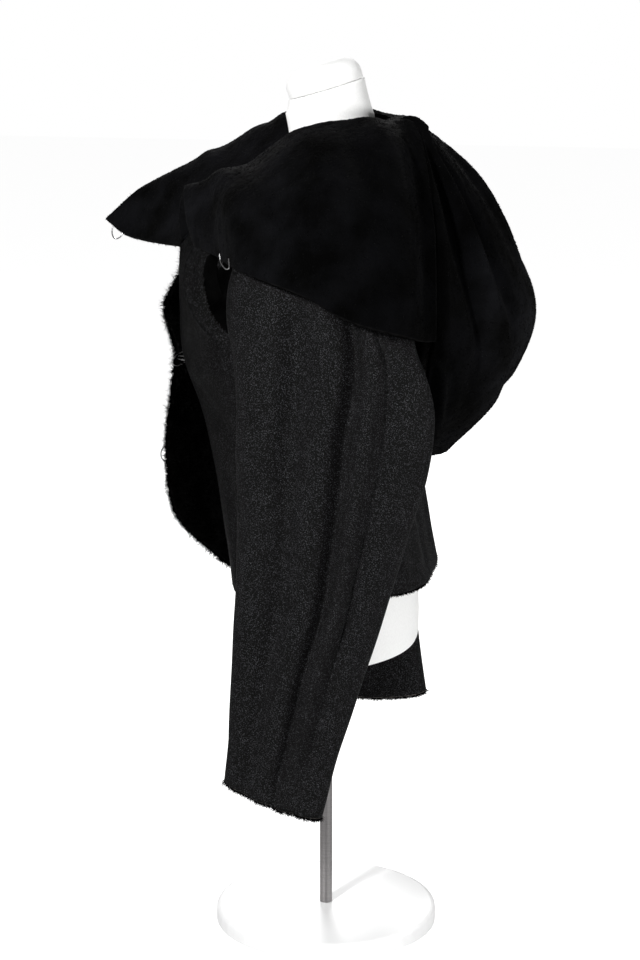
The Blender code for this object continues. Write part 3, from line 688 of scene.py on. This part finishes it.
left_front = shouldered(patch(panel(LEFT_FRONT, BACK)), [(1 / 2, 3 / 4)])
right_front = shouldered(patch(panel(RIGHT_FRONT, BACK), -1), [(1 / 2, 3 / 4)])
right_half = (panel(BACK, RIGHT_FRONT) * (-1, 1, 1))[:, :0:-1]
both_halves = np.concatenate([right_half, panel(BACK, LEFT_FRONT)], axis=1)
back_surface = shouldered(patch(both_halves), [(1 / 8, 1 / 4), (3 / 4, 7 / 8)])

LEFT_FRONT_FOLDS = folds(
    left_front,
    (
        # the almond-shaped fold beside the armhole: its rolled edge, the hollow behind it and the slot
        (0.0095, 0.0075, ((0.71, 0.31), (0.665, 0.3), (0.614, 0.32), (0.569, 0.35), (0.531, 0.41),
                          (0.49, 0.5))),
        (-0.015, 0.017, ((0.7, 0.59), (0.639, 0.6), (0.608, 0.59), (0.57, 0.58), (0.53, 0.61))),
        (-0.032, 0.015, ((0.71, 0.44), (0.66, 0.455), (0.614, 0.46), (0.576, 0.475), (0.544, 0.5),
                         (0.49, 0.59))),
        # fine crease along it, and soft pulls from the waist hook and the hem
        (-0.002, 0.0035, ((0.69, 0.34), (0.64, 0.35), (0.59, 0.35), (0.55, 0.4))),
        (-0.004, 0.011, ((0.43, 0.02), (0.455, 0.16), (0.5, 0.33))),
        (0.0035, 0.012, ((0.4, 0.02), (0.405, 0.2), (0.42, 0.4), (0.44, 0.56))),
        (-0.004, 0.012, ((0.38, 0.06), (0.33, 0.24), (0.3, 0.45))),
        (-0.0035, 0.013, ((0.02, 0.3), (0.12, 0.33), (0.24, 0.3))),
        (0.003, 0.012, ((0.01, 0.48), (0.11, 0.5), (0.26, 0.47))),
        (-0.01, 0.012, ((0.48, 0.64), (0.4, 0.64), (0.33, 0.65), (0.26, 0.67))),
    ),
)
RIGHT_FRONT_FOLDS = folds(
    right_front,
    (
        (0.004, 0.007, ((0.68, 0.54), (0.62, 0.5), (0.56, 0.5), (0.5, 0.55))),
        (-0.008, 0.009, ((0.69, 0.6), (0.63, 0.56), (0.57, 0.555), (0.5, 0.6))),
        (-0.004, 0.011, ((0.445, 0.02), (0.48, 0.18), (0.54, 0.34))),
        (0.0035, 0.011, ((0.43, 0.01), (0.425, 0.18), (0.43, 0.38))),
        (-0.004, 0.012, ((0.4, 0.03), (0.35, 0.2), (0.32, 0.4))),
        (-0.003, 0.013, ((0.02, 0.2), (0.12, 0.24), (0.26, 0.22))),
        (0.003, 0.012, ((0.02, 0.42), (0.13, 0.43), (0.27, 0.4))),
    ),
)
BACK_FOLDS = folds(
    back_surface,
    (
        (-0.0035, 0.014, ((0.02, 0.3), (0.12, 0.32), (0.24, 0.31), (0.33, 0.33))),
        (0.003, 0.014, ((0.01, 0.42), (0.11, 0.43), (0.25, 0.4))),
        (-0.003, 0.013, ((0.02, 0.56), (0.14, 0.55), (0.28, 0.58))),
        (0.003, 0.014, ((0.01, 0.7), (0.12, 0.69), (0.26, 0.7))),
        (-0.004, 0.012, ((0.3, 0.14), (0.32, 0.26), (0.33, 0.42))),
        (-0.004, 0.012, ((0.31, 0.86), (0.33, 0.74), (0.32, 0.6))),
        (0.003, 0.011, ((0.27, 0.16), (0.275, 0.3), (0.29, 0.44))),
        (0.003, 0.011, ((0.275, 0.84), (0.28, 0.7), (0.27, 0.56))),
        (-0.005, 0.011, ((0.46, 0.14), (0.52, 0.2), (0.6, 0.23), (0.7, 0.24))),
        (-0.005, 0.011, ((0.46, 0.86), (0.52, 0.8), (0.6, 0.77), (0.7, 0.76))),
    ),
)

back_spans = ((0, SHOULDER), (1 / 8, 7 / 8))
back = shearling(
    "back_panel", "back", back_surface, back_spans, (110, 110), 1,
    [skin, shaded_wool, dark_hide], (False, False, False, True), BACK_FOLDS,
)
back_wool = fringe(
    "back_fringe", back_surface, [((0, 1 / 8), (0, 7 / 8), (-1, 0))], 1, BACK_FOLDS,
    4200, 0.0060, 0.0009, shaded_wool, 21,
)
cut_flat(back_surface, back_spans)

front_spans = ((0, SHOULDER), (0, 3 / 4))
front_edges = [((0, 0), (0, 0.74), (-1, 0)), ((0, 0), (0.88, 0), (0, -1))]
front_l = shearling(
    "front_panel_left", "front_left", left_front, front_spans, (220, 150), -1,
    [skin, shaded_wool, dark_hide], (True, False, False, True), LEFT_FRONT_FOLDS,
)
front_wool_l = fringe(
    "front_fringe_left", left_front, front_edges, -1, LEFT_FRONT_FOLDS, 2600, 0.0030, 0.0007, wool, 24
)
front_pile_l = pile(
    "front_pile_left", left_front, ((0, SHOULDER), (0, 0.25)), 3200, -1, LEFT_FRONT_FOLDS,
    0.0045, 0.0018, shaded_wool, 34, face=-1,
)
cut_flat(left_front, front_spans)

front_r = shearling(
    "front_panel_right", "front_right", right_front, front_spans, (150, 90), 1,
    [skin, shaded_wool, dark_hide], (True, False, False, True), RIGHT_FRONT_FOLDS,
    lambda u, v: v < 0.055 * (1 - abs(u - 0.400) / 0.065),
)
front_wool_r = fringe(
    "front_fringe_right", right_front, front_edges, 1, RIGHT_FRONT_FOLDS, 8000, 0.0095, 0.0009, shaded_wool, 27
)
front_pile_r = pile(
    "front_pile_right", right_front, ((0, SHOULDER), (0, 0.40)), 6200, 1, RIGHT_FRONT_FOLDS,
    0.0055, 0.0020, shaded_wool, 31, face=-1,
)
cut_flat(right_front, front_spans)

# Sleeves: each is a top sleeve and an under sleeve in the same shearling, slim and long, set in the
# armholes. A long groove with a rounded ridge behind it runs down the outer face. The right one's is like
# the left one's, which is the one that shows.
LEFT_SLEEVE = (
    # from armhole to cuff: outer x and z, inner x and z, front y, back y, drawn in, back edge lower
    (0.1908, 1.033, 0.1908, 0.799, -0.058, 0.118, 0.022, 0.000),
    (0.2220, 1.012, 0.1940, 0.786, -0.082, 0.130, 0.016, 0.000),
    (0.2560, 0.968, 0.1970, 0.770, -0.083, 0.138, 0.010, 0.000),
    (0.2800, 0.905, 0.2010, 0.750, -0.071, 0.149, 0.005, 0.000),
    (0.2860, 0.825, 0.2030, 0.715, -0.066, 0.172, 0.000, 0.000),
    (0.2860, 0.730, 0.2040, 0.655, -0.066, 0.164, 0.000, 0.004),
    (0.2820, 0.630, 0.2040, 0.585, -0.067, 0.139, 0.000, 0.008),
    (0.2780, 0.530, 0.2060, 0.505, -0.069, 0.113, 0.000, 0.014),
    (0.2740, 0.430, 0.2080, 0.415, -0.074, 0.082, 0.000, 0.022),
    (0.2710, 0.340, 0.2100, 0.332, -0.079, 0.054, 0.000, 0.032),
    (0.2680, 0.261, 0.2120, 0.259, -0.086, 0.034, 0.000, 0.042),
)
RIGHT_SLEEVE = (
    (0.1908, 1.033, 0.1908, 0.799, -0.058, 0.118, 0.022, 0.000),
    (0.2220, 1.012, 0.1940, 0.786, -0.075, 0.125, 0.016, 0.000),
    (0.2580, 0.972, 0.1970, 0.770, -0.086, 0.128, 0.010, 0.000),
    (0.2820, 0.905, 0.2010, 0.750, -0.086, 0.125, 0.005, 0.000),
    (0.2920, 0.825, 0.2030, 0.715, -0.078, 0.116, 0.000, 0.000),
    (0.2950, 0.730, 0.2040, 0.655, -0.072, 0.102, 0.000, 0.002),
    (0.2930, 0.630, 0.2040, 0.585, -0.068, 0.090, 0.000, 0.004),
    (0.2900, 0.530, 0.2060, 0.505, -0.060, 0.084, 0.000, 0.004),
    (0.2860, 0.430, 0.2080, 0.415, -0.048, 0.084, 0.000, 0.002),
    (0.2800, 0.340, 0.2100, 0.332, -0.036, 0.088, 0.000, 0.000),
    (0.2740, 0.251, 0.2120, 0.249, -0.025, 0.100, 0.000, -0.006),
)
FRONT_SEAM = -0.08
BACK_SEAM = 0.345
FOLD = np.array(
    # along the sleeve, the groove's place across the outer face in turns, its strength
    ((0.00, 0.310, 0.0), (0.20, 0.306, 0.3), (0.33, 0.299, 1.0), (0.49, 0.279, 1.0), (0.60, 0.285, 0.9),
     (0.71, 0.289, 0.8), (0.80, 0.276, 0.7), (0.90, 0.271, 0.5), (1.00, 0.258, 0.2))
)
PLEATS = (
    # turns behind the groove, width in turns, height
    (0.000, 0.017, -0.012), (0.034, 0.016, 0.014), (0.068, 0.022, -0.008), (-0.046, 0.022, 0.007),
    (-0.096, 0.030, -0.013), (0.115, 0.022, 0.004),
)


def sleeve(sections, side):
    """A sleeve's surface: u is turns from the front edge over the outer face, v runs to the cuff.

    Each section is an ellipse between its outer and inner points, drawn in at its front and back edges.
    A groove, its ridge and softer waves beside them run down the outer face, each a Gaussian across it.
    """
    sections = np.array(sections)

    def surface(u, v):
        values = weights(v, len(sections)) @ sections
        out_x, out_z, in_x, in_z, ahead, behind, drawn, slant = values.T
        forward = np.cos(2 * math.pi * u)
        outward = np.sin(2 * math.pi * u)
        place_of_fold = np.interp(v, FOLD[:, 0], FOLD[:, 1])
        strength = np.interp(v, FOLD[:, 0], FOLD[:, 2])
        bent = np.zeros(len(u))
        for behind_groove, broad, high in PLEATS:
            bent += strength * high * np.exp(-(((u - place_of_fold - behind_groove) / broad) ** 2))
        x = (out_x + in_x) / 2 + (out_x - in_x) / 2 * outward - drawn * forward**2 + bent
        y = (ahead + behind) / 2 - (behind - ahead) / 2 * forward
        z = (out_z + in_z) / 2 + (out_z - in_z) / 2 * outward + slant / 2 * forward
        return np.stack([side * x, y, z], axis=1)

    return surface


SLEEVE_FOLDS = (
    # the back seam and the front one; pulls at the elbow and below the armhole
    (-0.002, 0.003, ((0.345, 0.02), (0.345, 0.3), (0.345, 0.7), (0.345, 0.99))),
    (-0.002, 0.003, ((0.92, 0.02), (0.92, 0.3), (0.92, 0.7), (0.92, 0.99))),
    (-0.0035, 0.0035, ((0.235, 0.285), (0.24, 0.32), (0.248, 0.345))),
    (0.0022, 0.004, ((0.24, 0.352), (0.27, 0.345), (0.305, 0.335))),
    (-0.003, 0.011, ((0.02, 0.42), (0.08, 0.455), (0.17, 0.475))),
    (0.0025, 0.011, ((0.01, 0.48), (0.08, 0.505), (0.16, 0.52))),
    (-0.003, 0.012, ((0.02, 0.56), (0.07, 0.56), (0.15, 0.545))),
    (-0.0025, 0.016, ((0.14, 0.5), (0.15, 0.65), (0.14, 0.8), (0.13, 0.96))),
    (0.0025, 0.016, ((0.06, 0.62), (0.07, 0.76), (0.06, 0.92))),
    (-0.0035, 0.009, ((0.4, 0.2), (0.42, 0.28), (0.41, 0.38))),
    (0.003, 0.01, ((0.44, 0.22), (0.46, 0.3), (0.44, 0.42))),
    (-0.004, 0.01, ((0.6, 0.3), (0.7, 0.33), (0.82, 0.31))),
    (-0.0035, 0.01, ((0.58, 0.42), (0.7, 0.46), (0.85, 0.44))),
    (0.003, 0.011, ((0.6, 0.38), (0.7, 0.4), (0.83, 0.38))),
    (-0.0025, 0.011, ((0.62, 0.62), (0.72, 0.64), (0.84, 0.61))),
)
for side, word, sections in ((1, "left", LEFT_SLEEVE), (-1, "right", RIGHT_SLEEVE)):
    surface = sleeve(sections, side)
    creases = folds(surface, SLEEVE_FOLDS)
    top_spans = ((FRONT_SEAM, BACK_SEAM), (0, 1))
    under_spans = ((BACK_SEAM, 1 + FRONT_SEAM), (0, 1))
    at_cuff = (False, False, True, False)
    top = shearling(
        f"sleeve_top_{word}", f"sleeve_{word}_top", surface, top_spans, (150, 150), -side,
        [skin, shaded_wool, hide], at_cuff, creases,
    )
    under = shearling(
        f"sleeve_under_{word}", f"sleeve_{word}_under", surface, under_spans, (90, 120), -side,
        [skin, shaded_wool, hide], at_cuff, creases,
    )
    cuff_wool = fringe(
        f"cuff_fringe_{word}", surface, [((FRONT_SEAM, 1), (1 + FRONT_SEAM, 1), (0, 1))],
        -side, creases, 5200, 0.0080, 0.0009, wool, 41 + side,
    )
    cut_flat(surface, top_spans)
    cut_flat(surface, under_spans)

# Left collar: one wide piece of the same shearling from the neck seam, folded down over the shoulder,
# so its wool is outside and its skin lies below. Its front end is a soft roll, its free edge is raw.
LEFT_COLLAR = (
    # from its front end to the hood: neck seam, stand, fold, shoulder, upper arm, free edge
    ((0.022, -0.187, 0.937), (0.045, -0.183, 0.978), (0.085, -0.167, 1.012),
     (0.115, -0.160, 1.005), (0.138, -0.151, 0.980), (0.146, -0.140, 0.948)),
    ((0.045, -0.148, 0.973), (0.070, -0.145, 1.003), (0.104, -0.128, 1.028),
     (0.142, -0.118, 1.018), (0.178, -0.111, 0.985), (0.197, -0.101, 0.944)),
    ((0.066, -0.092, 1.022), (0.085, -0.090, 1.038), (0.115, -0.078, 1.046),
     (0.168, -0.070, 1.037), (0.232, -0.064, 1.006), (0.272, -0.052, 0.937)),
    ((0.083, -0.035, 1.070), (0.096, -0.032, 1.080), (0.122, -0.018, 1.081),
     (0.184, -0.008, 1.066), (0.258, 0.008, 1.016), (0.303, 0.024, 0.917)),
    ((0.088, 0.020, 1.092), (0.097, 0.026, 1.099), (0.122, 0.045, 1.100),
     (0.188, 0.056, 1.079), (0.266, 0.068, 1.018), (0.313, 0.082, 0.890)),
    ((0.077, 0.056, 1.091), (0.090, 0.068, 1.098), (0.115, 0.090, 1.101),
     (0.172, 0.108, 1.076), (0.244, 0.130, 1.005), (0.290, 0.143, 0.870)),
)
RIGHT_COLLAR = (
    # likewise and mirrored: its front end stands forward to a corner
    ((0.022, -0.197, 0.922), (0.048, -0.214, 0.918), (0.075, -0.242, 0.916),
     (0.100, -0.271, 0.916), (0.122, -0.300, 0.920), (0.140, -0.328, 0.936)),
    ((0.045, -0.148, 0.979), (0.070, -0.171, 0.984), (0.098, -0.198, 0.988),
     (0.122, -0.225, 0.990), (0.146, -0.252, 0.988), (0.165, -0.275, 0.980)),
    ((0.066, -0.092, 1.024), (0.086, -0.109, 1.034), (0.110, -0.128, 1.040),
     (0.132, -0.146, 1.041), (0.155, -0.163, 1.036), (0.178, -0.178, 1.023)),
    ((0.084, -0.033, 1.067), (0.097, -0.046, 1.079), (0.115, -0.060, 1.087),
     (0.140, -0.072, 1.086), (0.170, -0.085, 1.076), (0.200, -0.095, 1.054)),
    ((0.088, 0.018, 1.092), (0.098, 0.018, 1.097), (0.122, 0.015, 1.096),
     (0.165, 0.008, 1.084), (0.215, 0.000, 1.054), (0.255, -0.005, 1.010)),
    ((0.077, 0.055, 1.090), (0.090, 0.061, 1.090), (0.115, 0.067, 1.081),
     (0.166, 0.078, 1.061), (0.226, 0.092, 1.002), (0.272, 0.100, 0.925)),
)
HOOD = (
    # the hood from its left side edge to its right: the collar's six places, then its belly and tip
    ((0.058, 0.076, 1.091), (0.074, 0.093, 1.098), (0.100, 0.127, 1.098), (0.132, 0.146, 1.056),
     (0.174, 0.162, 0.975), (0.215, 0.171, 0.851), (0.176, 0.157, 0.758), (0.070, 0.148, 0.675)),
    ((0.030, 0.087, 1.095), (0.045, 0.104, 1.099), (0.062, 0.134, 1.088), (0.084, 0.174, 1.038),
     (0.110, 0.218, 0.953), (0.128, 0.247, 0.853), (0.098, 0.216, 0.750), (0.036, 0.160, 0.672)),
    ((0.000, 0.092, 1.092), (0.000, 0.109, 1.093), (0.000, 0.140, 1.070), (0.000, 0.196, 1.015),
     (0.000, 0.241, 0.934), (0.000, 0.269, 0.848), (0.000, 0.230, 0.748), (0.000, 0.162, 0.671)),
    ((-0.030, 0.086, 1.093), (-0.045, 0.099, 1.089), (-0.064, 0.124, 1.064), (-0.088, 0.162, 1.010),
     (-0.110, 0.208, 0.936), (-0.128, 0.240, 0.846), (-0.098, 0.210, 0.748), (-0.036, 0.158, 0.672)),
    ((-0.058, 0.074, 1.087), (-0.074, 0.087, 1.086), (-0.100, 0.104, 1.074), (-0.134, 0.126, 1.035),
     (-0.172, 0.148, 0.955), (-0.215, 0.164, 0.845), (-0.172, 0.156, 0.754), (-0.070, 0.148, 0.675)),
)


def collar_surface(collar, side=1):
    """A collar from its front end (u = 0) to the hood (u = 6 / 7), and from neck seam to free edge."""
    hood = np.array(HOOD)[::side, :7] * (side, 1, 1)
    return patch(np.concatenate([run_on(collar), hood[:2]]), side)


left_collar = collar_surface(LEFT_COLLAR)
LEFT_COLLAR_FOLDS = folds(
    left_collar,
    (
        # a hollow behind the rolled front end, then long soft waves down over the shoulder
        (-0.004, 0.012, ((0.11, 0.15), (0.105, 0.35), (0.13, 0.56), (0.16, 0.78))),
        (0.0045, 0.016, ((0.16, 0.15), (0.19, 0.4), (0.25, 0.64), (0.28, 0.82))),
        (-0.0045, 0.017, ((0.28, 0.2), (0.33, 0.44), (0.39, 0.68), (0.41, 0.825))),
        (0.0045, 0.016, ((0.42, 0.2), (0.47, 0.45), (0.52, 0.65), (0.54, 0.825))),
        (-0.0055, 0.016, ((0.54, 0.24), (0.59, 0.46), (0.64, 0.66), (0.66, 0.825))),
        (0.0045, 0.015, ((0.64, 0.22), (0.7, 0.44), (0.74, 0.64), (0.75, 0.825))),
        (-0.0065, 0.012, ((0.76, 0.2), (0.8, 0.42), (0.815, 0.64), (0.815, 0.825))),
        (0.003, 0.009, ((0.33, 0.7), (0.42, 0.74), (0.52, 0.7))),
        (-0.003, 0.01, ((0.36, 0.56), (0.46, 0.59), (0.56, 0.57))),
    ),
)
collar_spans = ((0, 6 / 7), (0, 5 / 6))
collar_edges = [((0, 0.05), (0, 5 / 6), (-1, 0)), ((0, 5 / 6), (6 / 7, 5 / 6), (0, 1))]
collar_l = shearling(
    "collar_piece_left", "collar_left", left_collar, collar_spans, (140, 100), -1,
    [wool, skin, dark_hide], (False, False, True, True), LEFT_COLLAR_FOLDS, lambda u, v: u < 0.12,
)
collar_pile_l = pile(
    "collar_pile_left", left_collar, collar_spans, 18500, -1, LEFT_COLLAR_FOLDS, 0.0015, 0.0012, wool, 51
)
collar_wool_l = fringe(
    "collar_fringe_left", left_collar, collar_edges, -1, LEFT_COLLAR_FOLDS, 3200, 0.0026, 0.0008, wool, 54
)
cut_flat(
    left_collar, collar_spans,
)

# Right collar: the mirror piece, not folded down but standing forward like a wide lapel, wool upwards,
# out to a soft corner with a wire eye.
right_collar = collar_surface(RIGHT_COLLAR, -1)
RIGHT_COLLAR_FOLDS = folds(
    right_collar,
    (
        (-0.004, 0.014, ((0.06, 0.15), (0.08, 0.4), (0.1, 0.65), (0.12, 0.82))),
        (0.004, 0.015, ((0.2, 0.2), (0.22, 0.45), (0.25, 0.7), (0.26, 0.825))),
        (-0.0045, 0.015, ((0.33, 0.15), (0.36, 0.4), (0.39, 0.65), (0.4, 0.825))),
        (0.0035, 0.015, ((0.47, 0.2), (0.5, 0.45), (0.52, 0.7), (0.53, 0.825))),
        (-0.0045, 0.015, ((0.62, 0.2), (0.64, 0.45), (0.65, 0.65), (0.66, 0.825))),
        (0.0035, 0.015, ((0.74, 0.2), (0.76, 0.45), (0.77, 0.65), (0.78, 0.825))),
    ),
)
collar_r = shearling(
    "collar_piece_right", "collar_right", right_collar, collar_spans, (140, 100), 1,
    [wool, skin, dark_hide], (False, False, True, True), RIGHT_COLLAR_FOLDS,
)
collar_pile_r = pile(
    "collar_pile_right", right_collar, collar_spans, 16500, 1, RIGHT_COLLAR_FOLDS, 0.0015, 0.0012, wool, 61
)
collar_wool_r = fringe(
    "collar_fringe_right", right_collar, collar_edges, 1, RIGHT_COLLAR_FOLDS, 3600, 0.0034, 0.0008, wool, 64
)
cut_flat(right_collar, collar_spans)

# Hood: one large piece of the same shearling, sewn to the ends of both collars and hanging behind as a
# pouch with its wool outside. Folds fan down from the neck, sharpest on the left.
hood_table = np.array(HOOD)
hood_rows = []
for side, collar in ((1, LEFT_COLLAR), (-1, RIGHT_COLLAR)):
    edge, inner = hood_table[::side][:2]
    hood_rows.append(2 * edge - inner)
    hood_rows[-1][:6] = np.array(collar[-1]) * (side, 1, 1)
hood_surface = patch([hood_rows[0], *hood_table, hood_rows[1]])
HOOD_FOLDS = folds(
    hood_surface,
    (
        # the soft ridge along the left seam, the sharp one that fans out from it, and hollows beside them
        (0.006, 0.01, ((0.168, 0.2), (0.18, 0.424), (0.19, 0.56), (0.2, 0.7), (0.215, 0.86))),
        (0.017, 0.0065, ((0.182, 0.2), (0.205, 0.33), (0.239, 0.43), (0.263, 0.511), (0.29, 0.59),
                         (0.318, 0.68))),
        (-0.015, 0.012, ((0.215, 0.18), (0.25, 0.35), (0.285, 0.45), (0.32, 0.54), (0.35, 0.64),
                         (0.365, 0.74))),
        (-0.015, 0.01, ((0.186, 0.32), (0.215, 0.47), (0.238, 0.57), (0.262, 0.68), (0.275, 0.78))),
        (0.007, 0.007, ((0.176, 0.68), (0.191, 0.784), (0.2, 0.885), (0.205, 0.985))),
        (-0.008, 0.005, ((0.168, 0.7), (0.17, 0.784), (0.18, 0.87))),
        (0.0045, 0.011, ((0.225, 0.68), (0.235, 0.78), (0.24, 0.9))),
        (-0.005, 0.017, ((0.44, 0.28), (0.445, 0.4), (0.46, 0.52), (0.47, 0.64))),
        (0.0045, 0.017, ((0.5, 0.26), (0.51, 0.38), (0.52, 0.48), (0.53, 0.6))),
        (-0.005, 0.015, ((0.57, 0.14), (0.59, 0.33), (0.61, 0.48), (0.62, 0.6))),
        (0.005, 0.011, ((0.7, 0.15), (0.73, 0.34), (0.75, 0.48), (0.76, 0.62), (0.755, 0.74))),
        (-0.006, 0.012, ((0.78, 0.2), (0.775, 0.38), (0.785, 0.52), (0.79, 0.68), (0.78, 0.82))),
        (-0.004, 0.014, ((0.36, 0.8), (0.44, 0.84), (0.54, 0.84), (0.64, 0.81))),
    ),
)
hood_spans = ((1 / 6, 5 / 6), (0, 1))
hood = shearling(
    "hood_piece", "hood", hood_surface, hood_spans, (150, 140), -1,
    [wool, skin, dark_hide], (False, False, True, False), HOOD_FOLDS,
)
hood_pile = pile("hood_pile", hood_surface, hood_spans, 18500, -1, HOOD_FOLDS, 0.0016, 0.0013, wool, 71)
hood_edges = [
    ((1 / 6, 1), (5 / 6, 1), (0, 1)),
    ((1 / 6, 0.72), (1 / 6, 1), (-1, 0)),
    ((5 / 6, 0.72), (5 / 6, 1), (1, 0)),
]
hood_wool = fringe(
    "hood_fringe", hood_surface, hood_edges, -1, HOOD_FOLDS, 1800, 0.0034, 0.0008, wool, 74
)
cut_flat(
    hood_surface, hood_spans,
)

# Fasteners: bent steel wire hooks and eyes, sewn to the edges. They keep their solids.
wire, tree, shader = finish("bright steel wire", grey(0.62), 0.22, 1.0)
tint(tree, shader, grain(tree, 700.0, 3.0), (0.3, grey(0.45)), (0.7, grey(0.72)))
coat(["hook_collar", "eye_collar", "hook_upper", "hook_waist", "eye_waist", "eye_lower"], wire)
